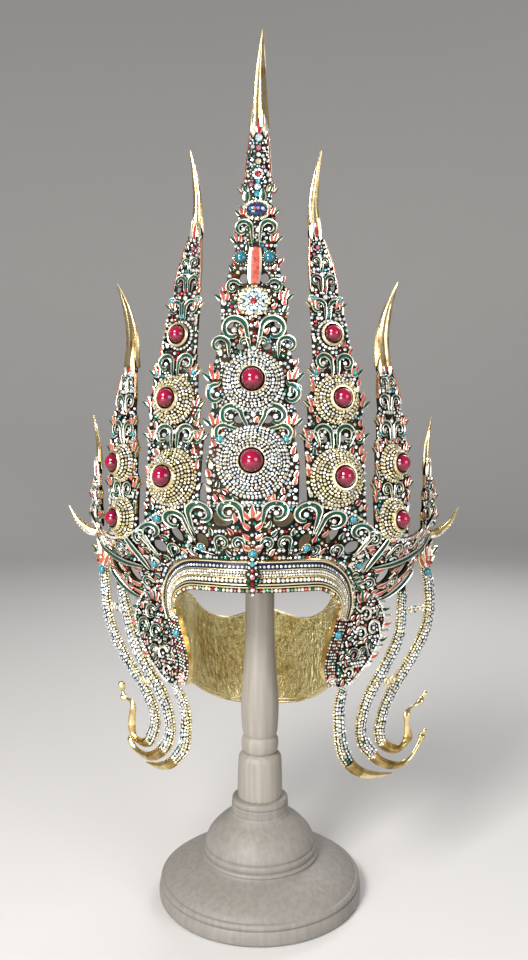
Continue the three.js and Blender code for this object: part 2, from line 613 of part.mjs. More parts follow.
for (const { word, sign } of sides) {
  const wing = new THREE.Group();
  wing.position.set(sign * wingRoot.x, wingRoot.y, 0);
  wing.rotation.z = sign * wingTurn;
  addPiece(wing, `cheek_plate_${word}`, mirrored(cheek, sign), gold);
  for (const name of Object.keys(strands)) {
    const strand = rod(strandRows(name, word), strandSteps[name], runs.strandRound, new THREE.Vector3(0, -1, 0));
    addPiece(wing, `strand_${name}_${word}`, mirrored(strand, sign), stones);
  }
  addPiece(wing, `strand_link_${word}`, mirrored(linkBar(word), sign), gold);
  headdress.add(wing);
  addPiece(headdress, `horn_${word}`, mirrored(horn, sign), gold);
}

export default headdress;
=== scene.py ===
import itertools
import math
import random

import bmesh
import bpy
import numpy as np
from mathutils import Matrix, Vector, noise


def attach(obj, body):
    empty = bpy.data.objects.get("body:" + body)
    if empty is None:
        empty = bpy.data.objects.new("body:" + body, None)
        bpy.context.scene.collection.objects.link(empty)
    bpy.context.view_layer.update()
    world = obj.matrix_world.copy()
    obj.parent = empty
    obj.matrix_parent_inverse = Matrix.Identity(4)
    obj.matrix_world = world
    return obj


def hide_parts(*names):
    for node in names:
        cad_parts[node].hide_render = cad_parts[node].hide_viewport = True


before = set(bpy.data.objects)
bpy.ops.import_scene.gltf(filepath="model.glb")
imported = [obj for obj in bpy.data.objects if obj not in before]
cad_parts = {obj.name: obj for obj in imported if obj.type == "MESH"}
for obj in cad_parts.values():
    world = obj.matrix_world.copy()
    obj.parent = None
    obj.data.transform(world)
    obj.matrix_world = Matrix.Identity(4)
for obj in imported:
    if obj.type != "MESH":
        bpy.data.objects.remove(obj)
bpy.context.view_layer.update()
mm = 0.001                               # sizes below are in millimetres, finished pieces in metres
dice = random.Random(11)
sides = {"left": -1, "right": 1}
print("frame loaded:", len(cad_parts), "nodes")


class Val:                               # a shader socket that takes part in sums
    def __init__(self, finish, socket):
        self.finish, self.socket = finish, socket

    def sum(self, kind, a, b):
        return self.finish.node("ShaderNodeMath", {"operation": kind}, {0: a, 1: b})

    def __add__(self, other):
        return self.sum("ADD", self, other)

    def __sub__(self, other):
        return self.sum("SUBTRACT", self, other)

    def __mul__(self, other):
        return self.sum("MULTIPLY", self, other)


class Finish:                            # one material and the nodes that make it
    def __init__(self, name):
        self.material = bpy.data.materials.new(name)
        self.material.use_nodes = True
        self.tree = self.material.node_tree
        self.shader = self.tree.nodes["Principled BSDF"]
        self.place = self.node("ShaderNodeTexCoord", out="Object")

    def feed(self, socket, value):
        if isinstance(value, Val):
            self.tree.links.new(value.socket, socket)
        else:
            socket.default_value = value

    def node(self, kind, settings={}, sockets={}, out=0):
        made = self.tree.nodes.new(kind)
        for key, value in settings.items():
            setattr(made, key, value)
        for key, value in sockets.items():
            self.feed(made.inputs[key], value)
        return Val(self, made.outputs[out])

    def noise(self, scale, detail=3.0, stretch=(1, 1, 1)):
        spot = self.node("ShaderNodeMapping", {}, {"Vector": self.place, "Scale": stretch})
        return self.node("ShaderNodeTexNoise", {}, {"Vector": spot, "Scale": scale, "Detail": detail})

    def between(self, value, low, high):
        return self.node("ShaderNodeMapRange", {}, {"Value": value, "From Min": low, "From Max": high})

    def blend(self, share, a, b):
        return self.node("ShaderNodeMix", {"data_type": "RGBA"}, {0: share, 6: a, 7: b}, out=2)

    def bump(self, height, strength, depth):
        return self.node("ShaderNodeBump", {}, {"Height": height, "Strength": strength, "Distance": depth})

    def shade(self, sockets):
        for key, value in sockets.items():
            self.feed(self.shader.inputs[key], value)
        return self.material


# Metals: colour, colour where worn, roughness, strength of the grain
goldLooks = {
    "gold": ((0.95, 0.78, 0.40, 1), (0.50, 0.33, 0.10, 1), 0.16, 0.25),
    "paleGold": ((0.98, 0.88, 0.60, 1), (0.84, 0.65, 0.31, 1), 0.24, 0.2),
    # aged gold for the head ring; on the first stretch of the strands' hooks it is painted shade
    "agedGoldAndShade": ((0.60, 0.43, 0.16, 1), (0.20, 0.12, 0.03, 1), 0.26, 0.4),
    # painted shade: a near-black ground that stands for the shadow in the gaps between the ornaments
    "paintedShadeGround": ((0.010, 0.010, 0.010, 1), (0.045, 0.031, 0.012, 1), 0.45, 0.5),
    # pale gold of the rails, whitened as a painted highlight
    "railGoldAndHighlight": ((0.98, 0.96, 0.86, 1), (0.91, 0.83, 0.62, 1), 0.28, 0.2),
    "tipGold": ((0.90, 0.74, 0.42, 1), (0.30, 0.17, 0.06, 1), 0.20, 0.4),
}


def goldFinish(name):
    f = Finish(name)
    colour, worn, rough, strength = goldLooks[name]
    wear = f.between(f.noise(90, 5), 0.42, 0.72)
    grain = f.noise(1500, 2)
    return f.shade({
        "Base Color": f.blend(wear, colour, worn),
        "Metallic": 1.0,
        "Roughness": wear * 0.18 + grain * 0.12 + rough - 0.06,
        "Normal": f.bump(grain, strength, 0.0002),
    })


def leafFinish():
    f = Finish("crinkledLeaf")
    ripple = f.noise(230, 7, (1, 1, 0.55))
    fine = f.noise(800, 4, (1, 1, 0.7))
    # broad patches of painted reflection: brighter and darker zones standing for the bright room mirrored in
    # the leaf
    paintedReflection = f.between(f.noise(22, 3, (1, 1, 0.6)), 0.40, 0.62)
    tone = f.between(f.noise(300, 6, (1, 1, 0.5)), 0.34, 0.66) * 0.45 + paintedReflection * 0.55
    return f.shade({
        "Base Color": f.blend(tone, (1.0, 0.95, 0.60, 1), (0.56, 0.41, 0.12, 1)),
        "Metallic": 1.0,
        "Roughness": fine * 0.25 + 0.08,
        "Normal": f.bump(ripple * 1.6 + fine * 0.5, 1.0, 0.0036),
    })


def stoneFinish():
    f = Finish("cutStone")
    tint = f.node("ShaderNodeAttribute", {"attribute_name": "tint"})
    return f.shade({
        "Base Color": tint, "Metallic": 0.55, "Roughness": 0.10, "Coat Weight": 0.9, "Coat Roughness": 0.03,
    })


def gemFinish(name, dark, bright):
    f = Finish(name)
    # the attribute read here paints the light gathered inside the stone and the shade at its rim; the noise
    # adds cloud
    paintedGlow = f.node("ShaderNodeAttribute", {"attribute_name": "paintedGlow"}, out=2)
    cloud = f.noise(140, 2) * 0.3 + paintedGlow * 0.85
    return f.shade({
        "Base Color": f.blend(f.between(cloud, 0.15, 1.0), dark, bright),
        "Roughness": 0.05, "Coat Weight": 0.5, "Coat Roughness": 0.02, "IOR": 1.5,
    })


def enamelFinish(name, colour, deep):
    f = Finish(name)
    cloud = f.between(f.noise(260, 4), 0.35, 0.68)
    return f.shade({
        "Base Color": f.blend(cloud, colour, deep),
        "Roughness": cloud * 0.15 + 0.22, "Specular IOR Level": 0.3,
        "Normal": f.bump(f.noise(900, 3), 0.2, 0.0002),
    })


def woodFinish(name, light, shade):
    f = Finish(name)
    grain = f.noise(240, 5, (1, 1, 0.04))
    rings = f.noise(420, 3, (0.15, 0.15, 1))
    pores = f.between(f.noise(420, 2, (1, 1, 0.5)), 0.70, 0.76)
    tone = f.blend(f.between(grain, 0.3, 0.7), light, shade)
    return f.shade({
        "Base Color": f.blend(pores * 0.6, tone, (0.12, 0.11, 0.10, 1)),
        "Roughness": grain * 0.2 + 0.45,
        "Normal": f.bump(rings * 0.6 + grain * 0.4 - pores * 0.4, 0.3, 0.0004),
    })


gold, paleGold, agedGoldAndShade, paintedShadeGround, railGoldAndHighlight, tipGold = (goldFinish(name) for name in goldLooks)
crinkledLeaf = leafFinish()
cutStone = stoneFinish()
gemLooks = {                             # painted shade at the rim and painted glow where the light gathers
    "ruby": ((0.020, 0.0, 0.004, 1), (0.46, 0.003, 0.055, 1)),
    "sapphire": ((0.001, 0.004, 0.02, 1), (0.008, 0.05, 0.19, 1)),
    "teal": ((0.003, 0.03, 0.05, 1), (0.015, 0.21, 0.30, 1)),
    "turquoise": ((0.004, 0.07, 0.11, 1), (0.04, 0.40, 0.50, 1)),
}
gems = {name: gemFinish(name, *look) for name, look in gemLooks.items()}
enamelLooks = {                          # colour and the darker clouds in it
    "greenEnamel": ((0.001, 0.068, 0.040, 1), (0.0005, 0.016, 0.012, 1)),
    "coralEnamel": ((0.47, 0.115, 0.075, 1), (0.24, 0.022, 0.020, 1)),
    "navyEnamel": ((0.010, 0.010, 0.045, 1), (0.004, 0.004, 0.015, 1)),
    "redEnamel": ((0.36, 0.012, 0.018, 1), (0.12, 0.004, 0.006, 1)),
}
green, coral, navy, red = (enamelFinish(name, *look) for name, look in enamelLooks.items())
bareWood = woodFinish("bareWood", (0.298, 0.276, 0.244, 1), (0.234, 0.212, 0.182, 1))
# the foot takes a darker copy of the same wood: painted shade for the light falling off towards the foot
paintedShadeFootWood = woodFinish("paintedShadeFootWood", (0.236, 0.221, 0.201, 1), (0.188, 0.174, 0.156, 1))
dressMetals = [gold, green, coral, navy, paintedShadeGround, red, paleGold, railGoldAndHighlight]
onGold, onGreen, onCoral, onNavy, onPaintedShade, onRed, onPale, onRailAndHighlight = range(len(dressMetals))
print("finishes made")

tints = {
    "white": (0.97, 0.98, 0.96), "champagne": (0.91, 0.81, 0.53), "ice": (0.70, 0.86, 0.93),
    "red": (0.46, 0.012, 0.03), "rose": (0.74, 0.26, 0.32), "green": (0.010, 0.20, 0.12),
    "aqua": (0.07, 0.46, 0.56), "coral": (0.58, 0.17, 0.11), "gilt": (0.76, 0.65, 0.34),
}


def ringOf(count, start=0.0):            # cosine and sine of evenly spread turns
    turns = [2 * math.pi * (i + start) / count for i in range(count)]
    return [(math.cos(turn), math.sin(turn)) for turn in turns]


def facing(spot, normal):                # stands something on a spot with its Z along the normal
    return Matrix.Translation(spot) @ normal.to_track_quat("Z", "Y").to_matrix().to_4x4()


def addPiece(name, bm, finishes, nodes=(), sharp=38):
    bmesh.ops.remove_doubles(bm, verts=bm.verts, dist=0.004)
    bmesh.ops.dissolve_degenerate(bm, edges=bm.edges, dist=0.002)
    bmesh.ops.scale(bm, vec=(mm, mm, mm), verts=bm.verts)
    for face in bm.faces:
        face.smooth = True
    for edge in bm.edges:
        edge.smooth = edge.calc_face_angle(0) < math.radians(sharp)
    mesh = bpy.data.meshes.new(name)
    bm.to_mesh(mesh)
    bm.free()
    return dressPiece(name, mesh, finishes, nodes)


def dressPiece(name, mesh, finishes, nodes):
    for finish in finishes:
        mesh.materials.append(finish)
    piece = bpy.data.objects.new(name, mesh)
    bpy.context.scene.collection.objects.link(piece)
    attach(piece, "root")
    if nodes:
        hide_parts(*nodes)
    return piece


def linearRun(rows, at):                 # straight lines through rows that begin with where they are
    for low, high in zip(rows, rows[1:]):
        if at <= high[0]:
            share = (at - low[0]) / (high[0] - low[0])
            return [p + (q - p) * share for p, q in zip(low[1:], high[1:])]
    return rows[-1][1:]


def smoothRun(rows, t):                  # a smooth curve through rows of numbers, t from 0 to 1
    last = len(rows) - 1
    at = min(max(t, 0.0), 1.0) * last
    i = min(int(at), last - 1)
    f = at - i
    b, c = rows[i], rows[i + 1]
    a = rows[i - 1] if i > 0 else [2 * p - q for p, q in zip(b, c)]
    d = rows[i + 2] if i + 2 <= last else [2 * q - p for p, q in zip(b, c)]
    point = []
    for pa, pb, pc, pd in zip(a, b, c, d):
        start, end = (pc - pa) / 2, (pd - pb) / 2
        point.append(pb + start * f + (3 * (pc - pb) - 2 * start - end) * f * f
                     + (2 * (pb - pc) + start + end) * f ** 3)
    return point


def turnedShape(bm, rows, steps, where=Matrix(), finish=0):   # rows of radius and height, spun about Z
    part = bmesh.new()
    chain = [part.verts.new((r, 0, h)) for r, h in rows]
    edges = [part.edges.new(pair) for pair in zip(chain, chain[1:])]
    bmesh.ops.spin(part, geom=chain + edges, cent=(0, 0, 0), axis=(0, 0, 1), angle=2 * math.pi,
                   steps=steps, use_merge=True)
    bmesh.ops.remove_doubles(part, verts=part.verts, dist=0.003)
    bmesh.ops.recalc_face_normals(part, faces=part.faces)
    bmesh.ops.transform(part, matrix=where, verts=part.verts)
    if where.determinant() < 0:
        bmesh.ops.reverse_faces(part, faces=part.faces)
    for face in part.faces:
        face.material_index = finish
    mesh = bpy.data.meshes.new("turned")
    part.to_mesh(mesh)
    part.free()
    bm.from_mesh(mesh)
    bpy.data.meshes.remove(mesh)


def bentGrid(bm, along, across, place, finishOf=lambda i, k: 0, flip=False):
    grid = bmesh.ops.create_grid(bm, x_segments=along, y_segments=across, size=0.5)["verts"]
    faces = list({face for vert in grid for face in vert.link_faces})
    for face in faces:
        spot = face.calc_center_median()
        face.material_index = finishOf(int((spot.x + 0.5) * along), int((spot.y + 0.5) * across))
    for vert in grid:
        vert.co = place(round((vert.co.x + 0.5) * along), round((vert.co.y + 0.5) * across))
    if flip:
        bmesh.ops.reverse_faces(bm, faces=faces)
    return faces


def closeEnds(bm):
    bmesh.ops.remove_doubles(bm, verts=bm.verts, dist=0.004)
    bmesh.ops.holes_fill(bm, edges=[edge for edge in bm.edges if edge.is_boundary], sides=0)


def tubePiece(name, steps, sides, place, finishes, nodes, sharp, finishOf=lambda i, k: 0):
    bm = bmesh.new()
    bentGrid(bm, steps, sides, place, finishOf)
    closeEnds(bm)
    bmesh.ops.recalc_face_normals(bm, faces=bm.faces)
    addPiece(name, bm, finishes, nodes, sharp)


def thicken(bm, deep):                   # a flat sheet on z = 0 gets a back behind it
    made = bmesh.ops.extrude_face_region(bm, geom=bm.faces[:], use_keep_orig=True)["geom"]
    back = [part for part in made if isinstance(part, bmesh.types.BMVert)]
    bmesh.ops.translate(bm, vec=(0, 0, -deep), verts=back)
    bmesh.ops.recalc_face_normals(bm, faces=bm.faces)


def cutPlate(outline, holes, thick, edge):           # a flat plate with holes, its front on z = 0
    bm = bmesh.new()
    for loop in [outline, *holes]:
        verts = [bm.verts.new((x, y, 0)) for x, y in loop]
        for pair in zip(verts, verts[1:] + verts[:1]):
            bm.edges.new(pair)
    bmesh.ops.triangle_fill(bm, use_beauty=True, edges=bm.edges[:])
    thicken(bm, thick)
    corners = []
    for bend in bm.edges:
        if bend.calc_face_angle(0) > 1.2 and abs(bend.verts[0].co.z - bend.verts[1].co.z) < 0.1:
            corners.append(bend)
    bmesh.ops.bevel(bm, geom=corners, offset=edge, segments=2, affect="EDGES", profile=0.5, material=-1)
    bm.normal_update()
    for face in bm.faces:                # gold behind; painted shade in front and round the edge, a dark ground for the shadow in the gaps between the ornaments
        face.material_index = 0 if face.normal.z < -0.5 else 1
    return bm


def oval(x, y, wide, high, points=20):
    return [(x + wide / 2 * cos, y + high / 2 * sin) for cos, sin in ringOf(points)]


# Stones: a cut shape of unit radius, repeated and joined
stoneProfiles = {
    "cut": (8, [(0, -0.3), (1, -0.1), (0.82, 0.40), (0.42, 0.66), (0, 0.66)]),
    "seed": (6, [(0, -0.3), (1, -0.1), (0.60, 0.55), (0, 0.60)]),
}


def cutShape(sides, rows):
    bm = bmesh.new()
    turnedShape(bm, rows, sides)
    bm.verts.index_update()
    shape = np.array([vert.co for vert in bm.verts]), [[v.index for v in face.verts] for face in bm.faces]
    bm.free()
    return shape


stoneShapes = {name: cutShape(*profile) for name, profile in stoneProfiles.items()}


def strewStones(name, spots, shape="cut", nodes=(), tilt=0.2):      # spots of point, normal, radius, tint
    base, faces = stoneShapes[shape]
    turns = []
    for point, normal, radius, tint in spots:
        lean = Vector([dice.gauss(0, tilt) for _ in range(3)])
        stand = (Vector(normal) + lean).to_track_quat("Z", "Y").to_matrix()
        turns.append(np.array(stand @ Matrix.Rotation(dice.uniform(0, 2 * math.pi), 3, "Z")) * radius)
    places = np.array([spot[0] for spot in spots])
    verts = np.einsum("nij,vj->nvi", np.array(turns), base) + places[:, None, :]
    polygons = [[i + k * len(base) for i in face] for k in range(len(spots)) for face in faces]
    mesh = bpy.data.meshes.new(name)
    mesh.from_pydata((verts.reshape(-1, 3) * mm).tolist(), [], polygons)
    shades = []
    for spot in spots:
        light = dice.uniform(0.66, 1.1)
        shades.append([min(c * light, 1.0) for c in tints[spot[3]]] + [1.0])
    colours = np.repeat(np.array(shades), len(base), axis=0)
    mesh.attributes.new("tint", "FLOAT_COLOR", "POINT").data.foreach_set("color", colours.ravel())
    return dressPiece(name, mesh, [cutStone], nodes)


def cabochon(name, finish, where, radii, high, nodes=(), rings=9, steps=36):
    bm = bmesh.new()
    rows = [(1.0, 0.0)] + [(math.cos(a), math.sin(a)) for a in
                           [0.12 + (math.pi / 2 - 0.12) * i / rings for i in range(rings + 1)]]
    turnedShape(bm, [(0, 0), *rows[:-1], (0, 1)], steps)
    paintedGlowOf = bm.verts.layers.float.new("paintedGlow")
    for vert in bm.verts:                # painted glow, brightest above the middle of the dome, and painted shade towards the rim
        rim = math.hypot(vert.co.x, vert.co.y)
        vert[paintedGlowOf] = max(0.0, (0.54 + 0.20 * vert.co.y) * (1 - rim ** 3))
    bmesh.ops.scale(bm, vec=(radii[0], radii[1], high), verts=bm.verts)
    bmesh.ops.transform(bm, matrix=where, verts=bm.verts)
    return addPiece(name, bm, [finish], nodes, sharp=60)


# Ribbons laid on a bed: share of the half width, height, and the finish of the strip that follows
def leafSection(finish):
    return [(-1, -0.6, onGold), (-0.95, 0.9, onRailAndHighlight), (-0.62, 1.0, finish), (0, 1.35, finish),
            (0.62, 1.0, onRailAndHighlight), (0.95, 0.9, onGold), (1, -0.6, onGold), (-1, -0.6, onGold)]


# the dark side strips of the scroll and the rib are painted shade; the rails are pale gold whitened as a
# painted highlight
ribbonSections = {
    "scroll": [(-1, -0.6, onPaintedShade), (-1, 0.9, onRailAndHighlight), (-0.80, 1.3, onRailAndHighlight), (-0.54, 1.1, onGreen),
               (0, 0.8, onGreen), (0.54, 1.1, onRailAndHighlight), (0.80, 1.3, onRailAndHighlight), (1, 0.9, onPaintedShade),
               (1, -0.6, onGold), (-1, -0.6, onGold)],
    "coral": leafSection(onCoral), "red": leafSection(onRed), "leaf": leafSection(onGreen),
    "plain": [(-1, -0.6, onGold), (-0.8, 0.6, onGold), (0, 1.2, onGold), (0.8, 0.6, onGold),
              (1, -0.6, onGold), (-1, -0.6, onGold)],
    "rib": [(-1, -0.6, onPaintedShade), (-0.8, 0.7, onRailAndHighlight), (0, 1.2, onRailAndHighlight), (0.8, 0.7, onPaintedShade),
            (1, -0.6, onGold), (-1, -0.6, onGold)],
}
cellSize = 6.0                           # taken places are looked up in cells of this size


def cellsNear(spot, reach):
    spans = [range(int((c - reach) // cellSize), int((c + reach) // cellSize) + 1) for c in spot]
    return itertools.product(*spans)


class Bed:                               # a surface that takes ornament: x across, y up, z off the surface
    def __init__(self, place, side):
        self.place, self.side = place, side
        self.metal = bmesh.new()
        self.stones, self.seeds, self.taken = [], [], {}

    def out(self, x, y):
        return (self.place(x, y, 1) - self.place(x, y, 0)).normalized()

    def take(self, x, y, radius):
        spot = self.place(x, y, 0)
        for cell in cellsNear(spot, radius):
            self.taken.setdefault(cell, []).append((spot, radius))

    def free(self, x, y, radius):
        spot = self.place(x, y, 0)
        return all((spot - other).length > radius + reach
                   for cell in cellsNear(spot, radius) for other, reach in self.taken.get(cell, ()))

    def stone(self, x, y, radius, tint, lift=0.0):
        self.stones.append((self.place(x, y, lift), self.out(x, y), radius, tint))
        self.take(x, y, radius)

    def gem(self, name, x, y, radius, kind, lift=0.3):
        where = facing(self.place(x, y, lift), self.out(x, y))
        cabochon(name, gems[kind], where, (radius, radius), radius * 0.8, rings=5, steps=20)
        reach = radius + 0.5
        for cos, sin in ringOf(16):      # a beaded gold seat
            bead = self.place(x + reach * cos, y + reach * sin, 0.4)
            self.seeds.append((bead, self.out(x, y), 0.75, "champagne"))
        self.take(x, y, radius + 0.8)

    def ribbon(self, path, width, kind, steps, high, face=None):     # face turns it away from the surface
        section = ribbonSections[kind]
        spots = []
        for i in range(steps + 1):
            here, ahead, behind = (path(min(max((i + d) / steps, 0), 1)) for d in (0, 0.2, -0.2))
            run = Vector((ahead[0] - behind[0], ahead[1] - behind[1])).normalized()
            if face:
                along = (self.place(*ahead, 0) - self.place(*behind, 0)).normalized()
                front = (self.out(*here) * 0.4 + face * 0.6).normalized()
                wide = front.cross(along).normalized()
                spots.append((self.place(*here, 1.5), wide, along.cross(wide), width(i / steps)))
            else:
                spots.append((here, run, None, width(i / steps)))
            self.take(*here, width(i / steps) * 0.9)

        def place(i, k):
            here, run, front, half = spots[i]
            share, rise, _ = section[k]
            if i in (0, steps):
                share, rise = 0, 0.2
            if face:
                return here + run * share * half + front * rise * high
            return self.place(here[0] - run.y * share * half, here[1] + run.x * share * half, rise * high)
        bentGrid(self.metal, steps, len(section) - 1, place, lambda i, k: section[k][2], self.side < 0)

    def volute(self, root, eye, radius, begin, sweep, width, high=1.8, tint="white", kind="scroll"):
        points = [root]
        for i in range(13):
            turn = math.radians(begin + 0.72 * sweep * i / 12)
            reach = radius * (1 - 0.56 * (i / 12) ** 2)
            points.append((eye[0] + reach * math.cos(turn), eye[1] + reach * math.sin(turn)))
        self.ribbon(lambda t: smoothRun(points, t),
                    lambda t: width / 2 * min(1.0, 0.5 + 3 * t) * (1 - 0.40 * t ** 2), kind, 26, high)
        self.stone(*eye, max(radius * 0.26, 1.4), tint, lift=0.6)

    def mirrored(self, sign, row, drift=0, **looks):   # a volute of root, eye, radius, begin, sweep, width
        (rootX, rootY), (eyeX, eyeY), radius, begin, sweep, width = row
        self.volute((drift + sign * rootX, rootY), (drift + sign * eyeX, eyeY), radius,
                    begin if sign > 0 else 180 - begin, sign * sweep, width, **looks)

    def flame(self, x, y, heading, length, width, curl=35, high=1.5, kind="coral"):
        points, spot = [(x, y)], Vector((x, y))
        for i in range(5):
            turn = math.radians(heading + curl * (i / 4 - 0.5))
            spot = spot + Vector((math.sin(turn), math.cos(turn))) * length / 5
            points.append(tuple(spot))
        self.ribbon(lambda t: smoothRun(points, t),
                    lambda t: width / 2 * math.sin(math.pi * t ** 0.62) + 0.05, kind, 9, high)

    def fan(self, x, y, heading, length, width, spread, count=3, high=1.8, kinds=("coral",)):
        for i in range(count):
            share = i / (count - 1) - 0.5
            turn = heading + spread * share
            self.flame(x + share * width * 1.1 * math.copysign(1, spread), y, turn,
                       length * (1 - 0.5 * abs(share)), width, spread * 0.5, high, kinds[i % len(kinds)])

    def scatter(self, spots, length, width, lean, high=1.4):       # leaves wherever there is room for one
        for x, y in spots:
            heading = lean(x, y) + dice.uniform(-28, 28)
            dx, dy = math.sin(math.radians(heading)) * length, math.cos(math.radians(heading)) * length
            if all(self.free(x + dx * s, y + dy * s, width * 0.36) for s in (0.15, 0.45, 0.8)):
                kind = dice.choice(("coral", "leaf", "coral", "rib", "leaf", "red"))
                self.flame(x, y, heading, length, width, dice.choice((-40, 40)), high, kind)

    def fill(self, spots, radius, mix, share=1.0):
        names, weights = list(mix), list(mix.values())
        for x, y in spots:
            if self.free(x, y, radius * 0.98) and dice.random() < share:
                size = radius * dice.uniform(0.92, 1.06)
                tint = dice.choices(names, weights)[0]
                self.seeds.append((self.place(x, y, 0.15), self.out(x, y), size, tint))
                self.take(x, y, radius * 0.98)

    def circle(self, x, y, reach, count, size, tints, lift):       # a ring of stones, reach across and up
        for i, (cos, sin) in enumerate(ringOf(count)):
            self.stone(x + reach[0] * cos, y + reach[1] * sin, size, tints[i % len(tints)], lift)

    def finish(self, name):
        if self.metal.faces:
            addPiece(f"{name}_dress", self.metal, dressMetals)
        if self.seeds:
            strewStones(f"{name}_seeds", self.seeds, "seed")
        if self.stones:
            strewStones(f"{name}_stones", self.stones)


# Stand: turned wood, each run of a profile is a smooth stretch between two sharp edges
standRuns = {
    "stand_base": [
        [(0, 0), (97, 0)], [(97, 0), (99.4, 1.2), (100, 4), (99.9, 8.5), (98.8, 12.6), (97.6, 13.4)],
        [(97.6, 13.4), (98.5, 15), (98.3, 17.2), (96.6, 18.8), (95, 19.2)],
        [(95, 19.2), (90.5, 23), (82, 28), (71, 32.8), (60, 37.2), (57.4, 38.8)],
        [(57.4, 38.8), (58, 40.6), (57, 42.4), (55.4, 43)], [(55.4, 43), (56, 45), (55.6, 48), (53.6, 49.4)],
        [(53.6, 49.4), (53.9, 52), (50, 60.6), (41, 70.2), (33, 76.4), (29.6, 79.4)],
        [(29.6, 79.4), (29, 81.5), (28.1, 82)], [(28.1, 82), (28, 86), (27.9, 89.4), (27.2, 89.8)],
        [(27.2, 89.8), (27.8, 91), (27.2, 94.6), (25, 96)],
        [(25, 96), (0, 96)],
    ],
    "stand_column": [
        [(0, 96.3), (22, 96.3)],
        [(22, 96.3), (22.1, 110), (21.6, 128), (20.8, 136), (18, 139.6), (16, 140.6)],
        [(16, 140.6), (17.6, 143.4), (18.3, 149), (17.8, 154), (16, 157)],
        [(16, 157), (17.4, 163), (18.4, 178), (18.4, 192), (17.2, 212), (15.6, 234), (14.5, 256),
         (14.1, 300), (14, 339.7)],
        [(14, 339.7), (0, 339.7)],
    ],
    "stand_cap": [
        [(0, 340), (65, 340)],
        [(65, 340), (68.6, 341.2), (70, 344), (69.4, 350), (66, 360), (59, 372), (47, 385), (31, 395),
         (15, 400.5), (0, 402)],
    ],
}
for name, runs in standRuns.items():
    profile = []
    for run in runs:
        pieces = max(1, 5 * (len(run) - 2))
        profile += [tuple(smoothRun(run, i / pieces)) for i in range(pieces)]
    shape = bmesh.new()
    turnedShape(shape, profile + [runs[-1][-1]], 96)
    # the foot gets the darker copy of the wood as painted shade
    wood = paintedShadeFootWood if name == "stand_base" else bareWood
    addPiece(name + "_turned", shape, [wood], [name], sharp=28)
print("stand turned")

# Crown wall: foot and top of the right half, one row for every ten degrees
crown = {"radius": 170, "centreY": 65, "end": 80, "thick": 3, "plate": 3, "footGap": 0.8, "perDegree": 2.6}
wallRows = [
    (0, -103, 347.6, 394.7), (20.5, -101, 347.6, 394.5), (40, -93.5, 347.6, 393), (59, -81, 346.5, 386),
    (77, -64, 337, 368), (91, -38, 312, 359.5), (113, -17.5, 300, 360), (139, 2, 314, 361),
    (160, 17.6, 345, 362),
]
wallEnd = crown["end"] * crown["perDegree"]


def wallTopAt(azimuth):
    return smoothRun(wallRows, abs(azimuth) / crown["end"])[3]


def wallEnds(azimuth):
    x, y, z, top = smoothRun(wallRows, abs(azimuth) / crown["end"])
    turn = math.radians(abs(azimuth))
    side = -1 if azimuth < 0 else 1
    across, back = crown["radius"] * math.sin(turn), crown["radius"] * math.cos(turn)
    return Vector((side * x, y, z)), Vector((side * across, crown["centreY"] - back, top))


def wallReach(x):
    foot, top = wallEnds(x / crown["perDegree"])
    return (top - foot).length


def wallPoint(x, y, z):                  # x along the wall, y up from its foot, z off its front
    azimuth = x / crown["perDegree"]
    foot, top = wallEnds(azimuth)
    rise = y / (top - foot).length
    step = 0.5 if azimuth <= 0 else -0.5
    nextFoot, nextTop = wallEnds(azimuth + step)
    point = foot.lerp(top, rise)
    along = (nextFoot.lerp(nextTop, rise) - point) * (1 if step > 0 else -1)
    front = along.cross(top - foot).normalized()
    return point + front * (z + crown["thick"] / 2)


def wallStretch(x, y):                   # real length of a step along the wall, for its length in x
    return (wallPoint(x + 1.3, y, 0) - wallPoint(x - 1.3, y, 0)).length


# Dress of the right half, mirrored to the left
wall = {
    "openings": [(24.7, 36.5, 17, 14), (49.4, 16.5, 12, 14), (72.8, 24, 10, 16), (96.2, 19, 12, 14),
                 (122.2, 21, 11, 15), (145.6, 24, 11, 18), (169, 24, 10, 15)],
    "volutes": [                         # stem, eye, radius, start and sweep in degrees, width
        ((7, 28), (18, 41.5), 9, 180, -400, 6.6), ((54, 22), (42, 41), 10, 0, 400, 6.8),
        ((57, 14), (67, 37), 9, 180, -400, 6.4), ((104, 10), (93, 35), 8.5, 0, 400, 6.0),
        ((6, 5), (13.5, 14), 5.5, 180, -390, 4.4), ((36, 4), (29, 15), 6, 0, 390, 4.4),
        ((40, 4), (62, 7.5), 5, 120, -360, 4.0), ((92, 4), (84, 11), 5.5, 0, 390, 4.2),
        ((107, 8), (105, 38), 6, 200, -400, 5.0), ((128, 3), (136, 11), 5.4, 170, -380, 4.2),
        ((130, 40), (137, 52), 6, 180, -390, 4.6), ((168, 6), (159, 15), 5.2, 0, 390, 4.0),
        ((160, 52), (167, 58), 4.4, 180, -380, 3.6), ((186, 30), (180, 42), 4.6, 0, 390, 3.8)],
    "borders": [                         # from the horn inwards, along the lower edge, an upright leaf
        [(208, 18), (190, 27), (170, 40), (155, 43), (140, 36), (125, 24)],
        [(180, 12), (187, 3), (180, -0.5), (170, -1), (154, -1)],
        [(122, 16), (120, 30), (118, 42), (114, 54)]],
    "flames": [(150, 4, 60), (162, 5, 66), (174, 8, 60), (146, 12, 50), (168, 12, 70), (132, 24, 40)],
    "gems": [(53, 10.5, 3.4), (81, 43, 3.8), (115, 14, 3.6), (196, 8, 3.0)],
    "curl": ((176, 50), (181, 61), 5.4, 180, -390, 4.4),
    "leafKinds": ("coral", "rib", "leaf", "coral", "red"),
    "mix": {"white": 52, "ice": 7, "champagne": 7, "red": 7, "coral": 11, "green": 14, "aqua": 2},
    "fills": [(3.6, 1.8, 1), (2.6, 1.2, 0.85), (1.8, 0.85, 0.12)],         # pitch, radius, share
}


